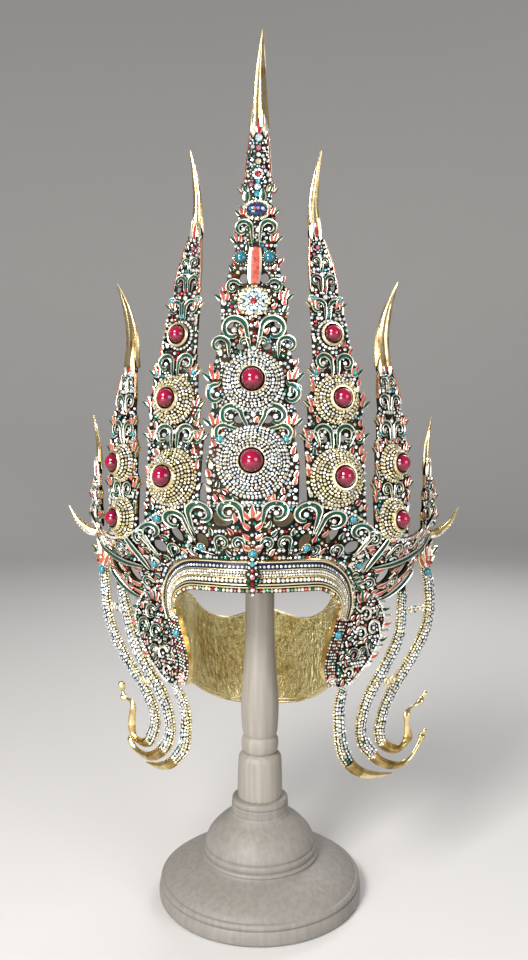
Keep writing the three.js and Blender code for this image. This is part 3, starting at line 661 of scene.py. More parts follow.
def wallSheet():
    bm = bmesh.new()
    bmesh.ops.create_grid(bm, x_segments=300, y_segments=30, size=0.5)
    holes = [(side * x, *rest) for x, *rest in wall["openings"] for side in sides.values()]
    for vert in bm.verts:
        x = vert.co.x * 2 * wallEnd
        vert.co = (x, (vert.co.y + 0.5) * wallReach(x), 0)

    def inHole(point, grow):
        for x, y, wide, high in holes:
            share = math.hypot((point.x - x) / wide * 2, (point.y - y) / high * 2)
            if share < grow:
                return x, y, max(share, 0.01)
    gone = [face for face in bm.faces if inHole(face.calc_center_median(), 1.0)]
    bmesh.ops.delete(bm, geom=gone, context="FACES")
    for vert in bm.verts:
        hit = inHole(vert.co, 1.4) if vert.is_boundary else None
        if hit:                          # rounds the stepped edge of the hole
            vert.co.x = hit[0] + (vert.co.x - hit[0]) / hit[2]
            vert.co.y = hit[1] + (vert.co.y - hit[1]) / hit[2]
    thicken(bm, 2.4)
    for vert in bm.verts:
        vert.co = wallPoint(*vert.co)
    bm.normal_update()
    for face in bm.faces:                # gold inside; painted shade in front and round the edges, a dark ground for the shadow in the gaps between the ornaments
        spot = face.calc_center_median()
        outward = Vector((spot.x, spot.y - crown["centreY"], 0))
        face.material_index = 0 if face.normal.dot(outward.normalized()) < -0.4 else 1
    addPiece("crown_wall_sheet", bm, [gold, paintedShadeGround], ["crown_wall"])


def wallSpots(pitch):                    # a staggered grid, pitch in millimetres on the wall itself
    spots, row = [], 0
    while (row + 0.5) * pitch < 72:
        x, y = -wallEnd + pitch * (0.6 + 0.5 * (row % 2)), (row + 0.6) * pitch * 0.92
        while x < wallEnd - 1:
            if y < wallReach(x) - 0.8:
                spots.append((x, y))
            x += pitch * crown["perDegree"] / max(wallStretch(x, y), 0.5)
        row += 1
    return spots


def wallDress():
    bed = Bed(wallPoint, 1)
    for x, y, wide, high in wall["openings"]:
        for side in sides.values():
            for cos, sin in ringOf(8):
                bed.take(side * x + wide / 3 * cos, y + high / 3 * sin, max(wide, high) / 5)
    for side in sides.values():
        for row in wall["volutes"]:
            high = 2.2 - 0.9 * min(1, row[1][0] / 140)
            bed.mirrored(side, row, high=high, tint=dice.choice(("white", "ice", "rose", "white")))
        for rows in wall["borders"]:
            path = [(side * x, y) for x, y in rows]
            bed.ribbon(lambda t: smoothRun(path, t), lambda t: 3.1 * math.sin(math.pi * t) ** 0.35 + 0.05,
                       "scroll", 34, 1.3, Vector((side * 0.35, -0.94, 0)))
        for x, y, heading in wall["flames"]:
            bed.flame(side * x, y, side * heading, 14, 5.5, side * -40, 1.6)
        for x, y, radius in wall["gems"]:
            bed.gem(f"wall_gem_{x}_{'a' if side < 0 else 'b'}", side * x, y, radius, "turquoise")
        for i in range(4):               # coral palmette up the middle
            bed.flame(side * 1.8, 10 + 8.5 * i, side * (62 - 10 * i), 10, 5.2, -side * 40, 2.2)
    bed.gem("wall_gem_middle", 0, 5.5, 3.6, "turquoise")
    bed.flame(0, 36, 0, 12, 6, 0, 2.4)
    x = -150.0
    while x < 151:                       # stones along the top edge, over the feet of the spires
        bed.stone(x, wallReach(x) + 0.3, 1.5, dice.choice(("white", "white", "champagne", "ice")), 0.6)
        x += 3.1 * crown["perDegree"] / wallStretch(x, 20)
    for side in sides.values():          # leaves and curls stand over its ends
        for i in range(7):
            x, step = side * (154 + 6 * i), i % 3
            bed.flame(x, wallReach(x) - 4, side * (6 * step - 4 * i), 10 + 2 * step, 5.4, side * 30, 1.6,
                      wall["leafKinds"][i % 5])
            bed.stone(x + side * 3, wallReach(x) + 1, 1.9, ("white", "ice", "white", "red")[i % 4], 0.6)
        bed.mirrored(side, wall["curl"], high=1.6)
    bed.scatter(wallSpots(6.5), 8.5, 4.4, lambda x, y: math.copysign(20, x), 1.4)
    for pitch, radius, share in wall["fills"]:
        bed.fill(wallSpots(pitch), radius, wall["mix"], share)
    bed.finish("crown_wall")


wallSheet()
wallDress()
print("crown wall dressed")

# Head ring: the plain band inside the crown
headRing = {"low": (84, 337), "high": (69.5, 352), "thick": 2.4, "oval": 0.12}


def ringPiece():
    bm = bmesh.new()
    (lowR, lowH), (highR, highH) = headRing["low"], headRing["high"]
    t = headRing["thick"]
    rows = [(lowR, lowH), (lowR + t, lowH), (highR + t, highH), (highR, highH), (lowR, lowH)]
    turnedShape(bm, rows, 96)
    for vert in bm.verts:
        vert.co.y *= 1 + headRing["oval"] * (highH - vert.co.z) / (highH - lowH)
    addPiece("head_ring_band", bm, [agedGoldAndShade], ["head_ring"])


ringPiece()

# Brow band: half of its path as x, y, z, width and the way it faces in degrees
browRows = [
    (0, -101, 333, 28, 0), (22, -98, 333, 28, 13), (42, -89, 332.5, 28, 27), (60, -74, 329.5, 27, 37),
    (74, -57.5, 318, 23, 41), (80, -47, 301, 17, 40), (77.5, -44.5, 284, 14, 37), (71.5, -48.7, 265, 13, 37),
    (66.5, -52.4, 248, 13, 37), (66, -52.8, 235, 12.5, 37), (68, -51.5, 224, 10, 37),
]
browRows = [(-x, y, z, width, -face) for x, y, z, width, face in browRows[:0:-1]] + browRows
# Moulding: share of the width from its middle, distance off the path, finish of the strip that follows
# its dark strips take the painted shade, dark between the ridges
browSection = [
    (-0.50, -3.0, onGold), (-0.50, 2.6, onPaintedShade), (-0.37, 2.8, onGold), (-0.345, 3.9, onPale),
    (-0.31, 4.2, onPaintedShade), (-0.285, 3.2, onPaintedShade), (-0.26, 4.1, onPale), (-0.22, 4.2, onPaintedShade),
    (-0.20, 3.0, onPaintedShade), (-0.05, 3.0, onGold), (-0.035, 3.7, onPale), (-0.015, 3.7, onGold),
    (0.0, 3.0, onPaintedShade), (0.18, 3.0, onPaintedShade), (0.195, 4.0, onPale), (0.225, 4.0, onPaintedShade),
    (0.235, 2.2, onNavy), (0.42, 2.2, onGold), (0.435, 3.8, onPale), (0.475, 4.2, onGold),
    (0.50, 3.4, onGold), (0.50, -3.0, onGold), (-0.50, -3.0, onGold),
]
browLegs, browBead = 0.30, 0.084         # past this share from its middle it has beads of this size
# Rows of stones along it: share of the width, distance off the path, radius by width, tints in order
browStones = [
    (0.135, 3.1, 0.050, ["white", "white", "champagne"]), (0.045, 3.1, 0.042, ["white", "champagne"]),
    (-0.125, 3.1, 0.072, ["white", "white", "champagne"]), (0.30, 2.4, 0.05, ["white", "ice", "white"]),
    (-0.435, 2.6, 0.062, ["red", "champagne", "green", "gilt", "white", "champagne"]),
]
legTints = ["white", "white", "champagne", "coral", "white", "red", "white", "champagne", "green"]
for share, out in ((-0.41, 2.9), (-0.24, 4.0), (-0.04, 3.5), (0.17, 3.6), (0.36, 3.0)):
    browStones.append((share, out, browBead, legTints))
cornerTints = ("white", "white", "coral", "green", "champagne")


def browPoint(t, share, out):
    x, y, z, width, face = smoothRun(browRows, t)
    ahead, behind = smoothRun(browRows, min(t + 0.004, 1)), smoothRun(browRows, max(t - 0.004, 0))
    run = (Vector(ahead[:3]) - Vector(behind[:3])).normalized()
    turn = math.radians(face)
    front = Vector((math.sin(turn), -math.cos(turn), 0))
    upward = -run.cross(front).normalized()
    return Vector((x, y, z)) + upward * share * width + front * out


def browMoulding(steps=160):
    def finishOf(i, k):                  # the legs take the painted shade between their edges
        return onPaintedShade if abs(i / steps - 0.5) > browLegs and 1 < k < 19 else browSection[k][2]
    tubePiece("brow_band_moulding", steps, len(browSection) - 1,
              lambda i, k: browPoint(i / steps, *browSection[k][:2]), dressMetals, ["brow_band"], 38,
              finishOf)


def browCrust():
    stones = []
    for share, out, size, order in browStones:
        t, count = 0.004, dice.randrange(9)
        while t < 0.996:
            onLeg = abs(t - 0.5) > browLegs
            if onLeg != (size == browBead):
                t += 0.002
                continue
            here = browPoint(t, share, out)
            radius = size * smoothRun(browRows, t)[3]
            stones.append((here, browPoint(t, share, out + 1) - here, radius, order[count % len(order)]))
            speed = (browPoint(min(t + 0.002, 1), share, out) - here).length / 0.002
            t += (2.7 if share > 0.25 or onLeg else 2.04) * radius / speed
            count += 1
    for k, (share, size) in enumerate(((0.54, 1.9), (0.66, 2.0), (0.78, 1.7))):    # over the arch's corners
        t = 0.205 + 0.012 * k
        while t < 0.33 - 0.014 * k:
            for mark in (t, 1 - t):
                here = browPoint(mark, share, 0.6)
                stones.append((here, browPoint(mark, share, 1.6) - here, size, dice.choice(cornerTints)))
            t += 1.9 * size / (browPoint(t + 0.002, share, 0) - browPoint(t, share, 0)).length * 0.002
    for t, inward in ((0.003, 0.02), (0.997, 0.98)):     # a rosette at each end
        run = (browPoint(inward, 0, 0) - browPoint(t, 0, 0)).normalized()
        face = browPoint(t, 0, 1) - browPoint(t, 0, 0)
        width = smoothRun(browRows, t)[3]
        for reach, count, tint in ((0.0, 1, "red"), (2.6, 7, "champagne"), (4.8, 14, "coral")):
            for i, (cos, sin) in enumerate(ringOf(count)):
                spot = browPoint(t, reach * cos / width, 3.6) + run * (reach * sin + 4)
                stones.append((spot, face, 1.15, tint if i % 2 else "white"))
    strewStones("brow_band_stones", stones, tilt=0.1)
    for label, t in (("left", 0.163), ("right", 0.837)):
        where = facing(browPoint(t, -0.06, 3.4), browPoint(t, 0, 1) - browPoint(t, 0, 0))
        cabochon(f"brow_gem_{label}", gems["turquoise"], where, (4, 4), 3.4, rings=5, steps=20)


browMoulding()
browCrust()
print("brow band laid")

# Spires: outline rows of height, half width and drift; tip rows of height, half width, drift and bend.
# Openings and volutes of the right half are mirrored. Above the height "pale" the dress turns silvery.
spires = {
    "center": {
        "azimuth": 0, "face": 0, "lean": 7, "footHalf": 39, "pale": 264,
        "outline": [(34, 41, 0), (62, 35, 0), (77, 39.5, 0), (84, 35.5, 0), (116, 40, 0), (122, 35, 0),
                    (150, 29, 0), (184, 31, 0), (189, 26.5, 0), (220, 18.5, 0.9), (234, 20.5, 1.3),
                    (238, 18, 1.4), (257, 17, 2), (261, 12.6, 2.1), (277, 15, 2.5), (281, 12.5, 2.6),
                    (327, 8.3, 3.4)],
        "tip": [(327, 8, 3.4, 0), (355, 6.2, 3.6, 0), (386, 3.8, 4.4, 0), (419, 0.5, 6, 0)],
        "openings": [(34, 61, 5, 9), (12, 73, 9, 7), (11.5, 136, 7, 6), (21, 157, 7, 11), (9, 195, 7, 9),
                     (7, 268, 5, 9)],
        "volutes": [((2.5, 62), (19, 75), 9.5, 180, -420, 6.4), ((3, 61), (25.5, 60), 7.5, 125, -330, 5.6),
                    ((28, 106), (31, 94), 8.6, 95, -320, 5.4), ((2.5, 129), (17, 150), 10.5, 180, -420, 6.6),
                    ((2, 131), (8, 138.5), 4.2, 180, -390, 3.6), ((21, 125), (29, 136), 7.6, 190, -390, 5.2),
                    ((9, 189), (18, 187), 5.8, 150, -380, 4.4), ((3, 222), (11, 238), 7, 180, -410, 5)],
        "gems": [(28.5, 55.5, 3.2, "turquoise"), (38, 99.5, 2.4, "turquoise"), (12.5, 213, 5.4, "teal")],
        "middle": [(77, 2.6, "white"), (84, 1.8, "red"), (134, 2.4, "ice"), (141, 2.0, "coral"),
                   (269, 3.2, "aqua"), (275.5, 3.4, "ice"), (280.5, 2, "aqua"), (287, 2.2, "red"),
                   (298, 2.8, "champagne"), (304, 2.2, "white"), (310, 2.6, "rose"), (319, 3.6, "ice")],
    },
    "inner": {
        "azimuth": 25, "face": 25, "lean": 7, "footHalf": 28, "pale": 188,
        "outline": [(29, 29, 0), (52, 29.5, 0), (68, 30.5, 0), (74, 27, 2), (96, 29, 4), (101, 25, 4),
                    (124, 24, 4), (129, 20.5, 3), (166, 17.5, 0), (182, 17, -1.5), (186, 14.5, -2),
                    (211, 12.5, -4.5), (241, 6.5, -8.5)],
        "tip": [(241, 6.3, -8.5, 0), (266, 4.2, -9, 2), (291, 2.6, -6, 5), (314, 0.5, -2, 9)],
        "openings": [(9, 60, 6, 6), (8, 122, 6, 7), (6, 195, 5, 10)],
        "volutes": [((2.5, 47), (11.5, 63), 8.4, 180, -410, 5.6),
                    ((14, 52), (22.5, 60), 5.8, 175, -390, 4.6),
                    ((2.5, 111), (10.5, 126), 7.4, 180, -410, 5.2),
                    ((2, 162), (8.5, 175), 6.2, 180, -410, 4.6),
                    ((2, 185), (7, 198), 5, 180, -390, 4), ((1.5, 206), (4.5, 215), 3.6, 180, -390, 3.2)],
        "gems": [(19, 118, 3, "turquoise"), (13.5, 182, 2.8, "turquoise")],
        "middle": [(66, 2.4, "white"), (130, 2.2, "red"), (168, 2.6, "aqua"), (184, 2.4, "white"),
                   (191, 2.2, "red"), (204, 2.4, "white"), (212, 2.2, "ice"), (220, 2.2, "white"),
                   (228, 2.0, "rose"), (235, 1.8, "white")],
    },
    "outer": {
        "azimuth": 46, "face": 46, "lean": 2.5, "footHalf": 24, "pale": 122,
        "outline": [(22, 25, 0), (52, 26.5, 1), (58, 22.5, 1), (84, 24, 2), (89, 20.5, 2), (108, 20.5, 2),
                    (113, 17, 1), (128, 16, -1.5), (152, 10, -6)],
        "tip": [(152, 9.6, -6, 0), (178, 7.6, -7, 1), (204, 4.6, -3, 5), (228, 0.5, 4, 12)],
        "openings": [(11, 46, 6, 5), (5, 104, 5, 9)],
        "volutes": [((2, 33), (8.5, 42), 5.6, 180, -400, 4.4), ((2, 82), (10, 96), 7.2, 180, -410, 5.2),
                    ((2, 109), (8.5, 121), 5.8, 180, -410, 4.4),
                    ((1.5, 129), (5.5, 138), 4, 180, -390, 3.4)],
        "gems": [(17, 92, 2.6, "turquoise")],
        "middle": [(40, 2.0, "white"), (88, 2.2, "red"), (104, 2.2, "white"), (116, 2.4, "ice"),
                   (126, 2.2, "white"), (134, 2.0, "rose"), (142, 2.0, "white"), (148, 1.8, "ice")],
    },
    "small": {
        "azimuth": 76, "face": 52, "lean": 0, "footHalf": 12, "pale": 38,
        "outline": [(14, 14, 0), (20, 11.5, 0), (34, 12.5, 0), (39, 9.5, 0), (56, 5.5, -4)],
        "tip": [(56, 5.2, -4, 0), (82, 3.4, -4, 1), (110, 0.5, 2, 3)],
        "openings": [], "gems": [],
        "volutes": [((1.5, 4), (6.5, 15), 5, 180, -410, 4), ((1.5, 23), (5.5, 33), 4.2, 180, -390, 3.4)],
        "middle": [(6, 2.4, "aqua"), (22, 2.2, "white"), (30, 2.2, "red"), (40, 2.0, "white"),
                   (48, 1.8, "ice")],
    },
}
# On the middle spire alone: a coral baton, leaves across its topmost openings, a white rosette
baton = {"low": 188, "high": 223, "wide": 12.5}
topLeaf = {"x": 7, "up": 262, "long": 13, "wide": 6.6}
rosette = {"x": 2.7, "up": 287, "reach": (4, 4), "count": 9, "size": 1.5}
# Settings on the spires: height, width, drift, rise, gem width
settings = {
    "center": {"low": (36, 61, 0, 18, 20.5), "high": (105, 51, 0, 15, 20)},
    "inner": {"low": (26, 49, 0, 16, 18.5), "high": (94, 41, 3.5, 12.5, 17.5), "top": (151, 23, 1, 5, 16)},
    "outer": {"low": (15.5, 37.5, 0, 10, 16.5), "high": (66, 33, 2, 10.5, 16.5)},
    "small": {},
}
onPlate = 1.8                            # settings stand this far off the middle of their plate
crustPitch, footPitch = 3.3, 3.4         # spacing of the stones over a dome and round its foot
paleMix = {"white": 56, "ice": 26, "rose": 5, "aqua": 11, "red": 2}
plateMix = {"white": 54, "ice": 10, "champagne": 8, "red": 4, "coral": 7, "green": 15, "aqua": 2}
plateFills = [(4.6, 2.3, 1), (3.6, 1.8, 1), (2.6, 1.2, 0.9), (1.8, 0.85, 0.2)]     # pitch, radius, share
domeOrders = {"center": ["white", "white", "white", "ice", "white", "champagne"],
              "side": ["gilt", "champagne", "gilt", "champagne", "white"]}


def plateMatrix(spire, side):
    turn = Matrix.Rotation(math.radians(side * spire["azimuth"]), 4, "Z")
    face = Matrix.Rotation(math.radians(side * (spire["face"] - spire["azimuth"])), 4, "Z")
    stand = Matrix.Rotation(math.radians(90 - spire["lean"]), 4, "X")
    foot = Matrix.Translation((0, -crown["radius"], wallTopAt(spire["azimuth"]) + crown["footGap"]))
    mirror = Matrix.Diagonal((side, 1, 1, 1))
    return Matrix.Translation((0, crown["centreY"], 0)) @ turn @ foot @ face @ stand @ mirror


def edgeAt(spire, up):                   # half width and drift of a spire at a height
    return linearRun([(0, spire["footHalf"], 0), *spire["outline"]], up)


def footRise(spire, along):              # a plate's foot follows the top of the wall
    angle = spire["azimuth"] + math.degrees(math.atan(along / crown["radius"]))
    return (wallTopAt(angle) - wallTopAt(spire["azimuth"])) / math.cos(math.radians(spire["lean"]))


def spireOutline(spire):
    inset = 1.2                          # leaves stand over the edge
    marks = [spire["footHalf"] * (i / 6 - 1) for i in range(13)]
    foot = [(along, footRise(spire, along)) for along in marks]
    right = [(drift + half - inset, up) for up, half, drift in spire["outline"]]
    left = [(drift - half + inset, up) for up, half, drift in spire["outline"]]
    return foot + right + left[::-1]


def domeRows(setting):                   # from the outer edge up to the gem's seat
    _, wide, _, rise, gem = setting
    r, seat = wide / 2, gem / 2 + 0.3
    return [(r, 0), (r, rise * 0.22), (r * 0.8, rise * 0.45), (r * 0.78, rise * 0.55),
            (max(r * 0.56, seat + 2.1), rise * 0.8), (seat + 1.6, rise)]


def crustDome(bed, setting, order):
    up, wide, drift, rise, _ = setting
    rows = domeRows(setting)[1:]
    walk = crustPitch * 0.35
    lengths = [math.dist(a, b) for a, b in zip(rows, rows[1:])]

    def lay(reach, high, cos, sin, slope, size, tint):   # one stone, standing off the slope
        spot = bed.place(drift + reach * cos, up + reach * sin, high)
        tip = bed.place(drift + (reach + slope[0]) * cos, up + (reach + slope[0]) * sin, high + slope[1])
        bed.stones.append((spot, tip - spot, size, tint))
    while walk < sum(lengths):
        left = walk
        for (a, b), length in zip(zip(rows, rows[1:]), lengths):
            if left <= length:
                break
            left -= length
        r, h = (p + (q - p) * left / length for p, q in zip(a, b))
        slope = Vector((b[1] - a[1], a[0] - b[0])).normalized()
        count = int(2 * math.pi * r / crustPitch)
        start = dice.uniform(0, 2)
        for i in range(count):
            turn = 2 * math.pi * (i + start + dice.uniform(-0.12, 0.12)) / count
            size = crustPitch * dice.uniform(0.39, 0.485)
            lay(r, h + 0.3, math.cos(turn), math.sin(turn), slope, size, dice.choice(order))
        walk += crustPitch * 0.96
    for i, (cos, sin) in enumerate(ringOf(int(2 * math.pi * wide / 2 / footPitch))):
        lay(wide / 2, rise * 0.13, cos, sin, (1, 0.8), 1.55, order[i % len(order)])


def spireTip(name, spire, where, steps=40, around=24):
    ridges = [0.84 + 0.26 * abs(math.cos(3 * 2 * math.pi * k / around)) for k in range(around)]

    def place(i, k):
        up, half, drift, bend = smoothRun(spire["tip"], i / steps)
        turn = 2 * math.pi * (k % around) / around + 0.7 * i / steps
        swell = half * (ridges[k % around] if i < steps else 0.2)
        if i == 0:
            up += 0.6
        return where @ Vector((drift + swell * math.cos(turn), up, bend + 0.62 * swell * math.sin(turn)))
    tubePiece(f"{name}_point", steps, around, place, [tipGold], [name], 32)


def staggered(low, high, pitch, first, span):    # rows of spots; span gives a row's left, right, shift
    spots, row = [], 0
    while low + (row + first) * pitch * 0.92 < high:
        y = low + (row + first) * pitch * 0.92
        left, right, shift = span(y)
        x = left + pitch * (0.5 + 0.5 * (row % 2))
        while x < right - 1:
            spots.append((shift + x, y))
            x += pitch
        row += 1
    return spots


def plateSpots(spire, pitch):
    lowest = min(footRise(spire, along) for along in (-spire["footHalf"], 0, spire["footHalf"]))

    def span(y):
        half, drift = edgeAt(spire, max(y, 0))
        return -half, half, drift
    spots = staggered(lowest, spire["outline"][-1][0] - 1, pitch, 0.6, span)
    return [(x, y) for x, y in spots if y > footRise(spire, x - span(y)[2]) + 1]


def edgeFlames(bed, spire):
    rows = spire["outline"]

    def kinds(up, low):
        return ("rib", "leaf") if up > spire["pale"] else low
    for (up, half, drift), (nextUp, nextHalf, _) in zip(rows, rows[1:]):
        if nextUp - up < 9 and half - nextHalf > 1.8:    # a tooth is the tip of a fan of leaves
            size = 0.55 + half / 80
            for sign in (-1, 1):
                bed.fan(drift + sign * (half - 5.5 * size), up - 9.5 * size, sign * 24, 13 * size,
                        4.4 * size, sign * 52, 3, 1.9, kinds(up, ("coral", "coral", "leaf")))
    up = 3.0
    while up < rows[-1][0] - 5:
        half, drift = edgeAt(spire, up + 4)
        size = 0.5 + 0.5 * min(half / 30, 1.1)
        for sign in (-1, 1):
            x = drift + sign * (half - dice.uniform(2.6, 4.4) * size)
            if not bed.free(x, up + 3 * size, 1.0):
                continue
            if dice.random() < 0.5:
                tint = dice.choice(("white", "white", "ice"))
                bed.stone(x + sign * size, up + 2.5 * size, 1.9 * size, tint, 0.2)
            else:
                kind = dice.choice(kinds(up, ("coral", "coral", "leaf", "rib")))
                grow = size * dice.uniform(0.8, 1.1)
                heading = sign * dice.uniform(8, 34)
                bed.flame(x, up, heading, 9.5 * grow, 4.8 * grow, sign * 40, 1.6, kind)
        up += 6.2 * size


def setStone(bed, kind, level, suffix, where, side):     # a dome or ring with its ruby
    setting = settings[kind][level]
    up, wide, drift, rise, gem = setting
    seat = gem / 2 + 0.3
    bm = bmesh.new()
    spot = where @ Matrix.Translation((drift, up, onPlate))
    cup = [(0, 0), *domeRows(setting), (seat, rise), (seat, rise - 2), (0, rise - 2)]
    # the dome's body takes the painted shade, dark in the gaps between its stones
    turnedShape(bm, cup, 56, spot, onPaintedShade)
    thick = 1.5 if kind == "center" else 2.4
    rim = [(0.05, -1), (thick - 0.2, -0.8), (thick, 0.6), (thick * 0.65, 1.7), (0.5, 1.5), (0.05, 0.4),
           (0.05, -1)]
    turnedShape(bm, [(seat + out, rise + high) for out, high in rim], 56, spot, onPale)
    name = "bezel" if level == "top" else f"medallion_{kind}_{level}"
    addPiece(f"{name}{suffix}_dome", bm, dressMetals, [name + suffix])
    if level == "top":
        bed.circle(drift, up, (wide / 2 + 0.4, wide / 2 + 0.4), 22, 1.6, ["white"], 1.0)
    else:
        crustDome(bed, setting, domeOrders["center" if kind == "center" else "side"])
    seated = where @ Matrix.Translation((drift, up, onPlate + rise - 1.7)) @ Matrix.Diagonal((side, 1, 1, 1))
    name = f"gem_{kind}_{level}{suffix}"
    cabochon(f"{name}_cabochon", gems["ruby"], seated, (gem / 2, gem / 2), gem * 0.60, [name])
    bed.take(drift, up, wide / 2 + 0.6)


def spirePlate(name, spire, where, side):
    holes = [oval(sign * x, y, wide, high) for x, y, wide, high in spire["openings"] for sign in (-1, 1)]
    plate = cutPlate(spireOutline(spire), holes, crown["plate"] - 0.8, 0.5)
    front = Matrix.Translation((0, 0, crown["plate"] / 2))
    bmesh.ops.transform(plate, matrix=where @ front, verts=plate.verts)
    if side < 0:
        bmesh.ops.reverse_faces(plate, faces=plate.faces[:])
    addPiece(f"{name}_plate", plate, [gold, paintedShadeGround], [name], sharp=30)


def redEdge(spire, sign, t):             # the edge of a spire from where it turns pale up to its tip
    up = spire["pale"] + 2 + (spire["outline"][-1][0] - 6 - spire["pale"]) * t
    reach, middle = edgeAt(spire, up)
    return middle + sign * (reach - 0.8), up


def batonPath(spire, t):
    up = baton["low"] + (baton["high"] - baton["low"]) * t
    return edgeAt(spire, up)[1], up


def dressSpire(kind, word, side):
    spire = spires[kind]
    where = plateMatrix(spire, side)
    suffix = f"_{word}" if word else ""
    name = f"spire_{kind}{suffix}"
    spirePlate(name, spire, where, side)
    spireTip(f"tip_{kind}{suffix}", spire, where)
    bed = Bed(lambda x, y, z: where @ Vector((x, y, z + crown["plate"] / 2)), side)
    for x, y, wide, high in spire["openings"]:
        for sign in (-1, 1):
            bed.take(sign * x, y, max(wide, high) / 2)
    for sign in (-1, 1) if kind == "center" else ():
        bed.flame(sign * topLeaf["x"], topLeaf["up"], 0, topLeaf["long"], topLeaf["wide"], 0, 1.6, "leaf")
    for level in settings[kind]:
        setStone(bed, kind, level, suffix, where, side)
    for row in spire["volutes"]:
        tint = dice.choice(("white", "white", "ice", "rose"))
        for sign in (-1, 1):
            bed.mirrored(sign, row, edgeAt(spire, row[1][1])[1], tint=tint)
    for x, y, radius, stone in spire["gems"]:
        for sign, label in ((-1, "a"), (1, "b")):
            bed.gem(f"{name}_{stone}_{y:.0f}{label}", edgeAt(spire, y)[1] + sign * x, y, radius, stone, 0.6)
    for up, radius, tint in spire["middle"]:
        bed.stone(edgeAt(spire, up)[1], up, radius, tint, 0.5)
    if kind == "center":
        bed.ribbon(lambda t: batonPath(spire, t),
                   lambda t: baton["wide"] / 2 * math.sin(math.pi * t) ** 0.15 + 0.05, "coral", 20, 2.4)
    edgeFlames(bed, spire)
    for sign in (-1, 1):                 # thin red edges near the top
        bed.ribbon(lambda t: redEdge(spire, sign, t), lambda t: 0.65, "red", 20, 1.9)
    if kind == "center":
        bed.circle(*rosette.values(), ["white"], 0.4)
    below = [spot for spot in plateSpots(spire, 6.0) if spot[1] < spire["pale"] - 6]
    bed.scatter(below, 7.5, 4.2, lambda x, y: math.copysign(24, x))
    for pitch, radius, share in plateFills:
        spots = plateSpots(spire, pitch)
        bed.fill([spot for spot in spots if spot[1] > spire["pale"]], radius, paleMix)
        if radius < 2:
            bed.fill(spots, radius, plateMix, share)
    top, half, drift = spire["outline"][-1]
    bed.flame(drift, top - 5, 0, 15, half * 0.8, 0, 2.6, "red")    # leaves over the foot of the tip
    for sign in (-1, 1):
        bed.flame(drift + sign * half * 0.66, top - 8, -sign * 4, 22, half * 0.7, -sign * 10, 2.4, "rib")
    bed.finish(name)


dressSpire("center", "", 1)
for kind in ("inner", "outer", "small"):
    for word, side in sides.items():
        dressSpire(kind, word, side)
print("spires dressed")

# Flower and oval stone on the middle spire; rings of reach, count, size
blossom = {"up": 174, "radius": 14.7, "petals": 8, "deep": 3.5,
           "rings": [(3.8, 8, 1.45), (7.2, 12, 1.85), (10.6, 18, 1.85), (13.5, 28, 1.5)]}
crest = {"x": 1.8, "up": 255, "wide": 19, "high": 13, "rise": 5, "seat": 1.6, "seatStones": 26,
         # the aqua and ice stones on the oval are painted highlights; the coral and rose ones paint the red
         # and white in its middle
         "flecksAndHighlights": [(-1.7, "coral"), (1.5, "rose"), (5.2, "ice"), (-5.4, "aqua")]}


def lobed(wide, high, lobes, points):    # outline of a plate with rounded lobes
    outline = []
    for i in range(points):
        turn = 2 * math.pi * i / points
        reach = 0.86 + 0.14 * math.cos(lobes * turn)
        outline.append((wide / 2 * reach * math.cos(turn), high / 2 * reach * math.sin(turn)))
    return outline


def centreFlower(where):
    petals, front = blossom["petals"], onPlate + blossom["deep"]
    bm = cutPlate(lobed(2 * blossom["radius"], 2 * blossom["radius"], petals, 96), [], blossom["deep"], 0.8)
    bmesh.ops.transform(bm, matrix=where @ Matrix.Translation((0, blossom["up"], front)), verts=bm.verts)
    addPiece("center_flower_plate", bm, [gold, paintedShadeGround], ["center_flower"])
    bed = Bed(lambda x, y, z: where @ Vector((x, blossom["up"] + y, z + onPlate + blossom["deep"])), 1)
    for ring, (reach, count, size) in enumerate(blossom["rings"]):
        for i in range(count):
            turn = 2 * math.pi * (i + 0.5 * (ring % 2)) / count
            wave = 0.92 + 0.08 * math.cos(petals * turn)
            bed.stone(reach * wave * math.cos(turn), reach * wave * math.sin(turn), size,
                      "champagne" if ring == 3 else "ice" if i % 3 else "white")
    bed.stone(0, 0, 2.4, "red", 0.4)
    bed.finish("center_flower")


def crestStone(where):
    half, tall = crest["wide"] / 2, crest["high"] / 2
    seat = where @ Matrix.Translation((crest["x"], crest["up"], onPlate))
    cabochon("crest_stone_oval", gems["sapphire"], seat, (half, tall), crest["rise"],
             ["crest_stone"])
    bed = Bed(lambda x, y, z: where @ Vector((crest["x"] + x, crest["up"] + y, z + crown["plate"] / 2)), 1)
    bed.circle(0, 0, (half + crest["seat"], tall + crest["seat"]), crest["seatStones"], 1.55,
               ["white", "champagne", "champagne"], 0.5)
    # small stones on the oval: painted highlights and its red and white middle
    for x, tint in crest["flecksAndHighlights"]:
        bed.stone(x, 0, 1.7, tint, crest["rise"] * (1 - (x / crest["wide"] * 2) ** 2) ** 0.5)
    bed.finish("crest")


centreFlower(plateMatrix(spires["center"], 1))
crestStone(plateMatrix(spires["center"], 1))

# Sides: x runs outwards along the wing, up is Z, back is off its rear
wing = {"x": 67, "y": -52, "turn": math.atan2(3, 4)}


def wingPoint(side, x, up, out):
    cos, sin = math.cos(wing["turn"]), math.sin(wing["turn"])
    return Vector((side * (wing["x"] + cos * x + sin * out), wing["y"] + sin * x - cos * out, up))


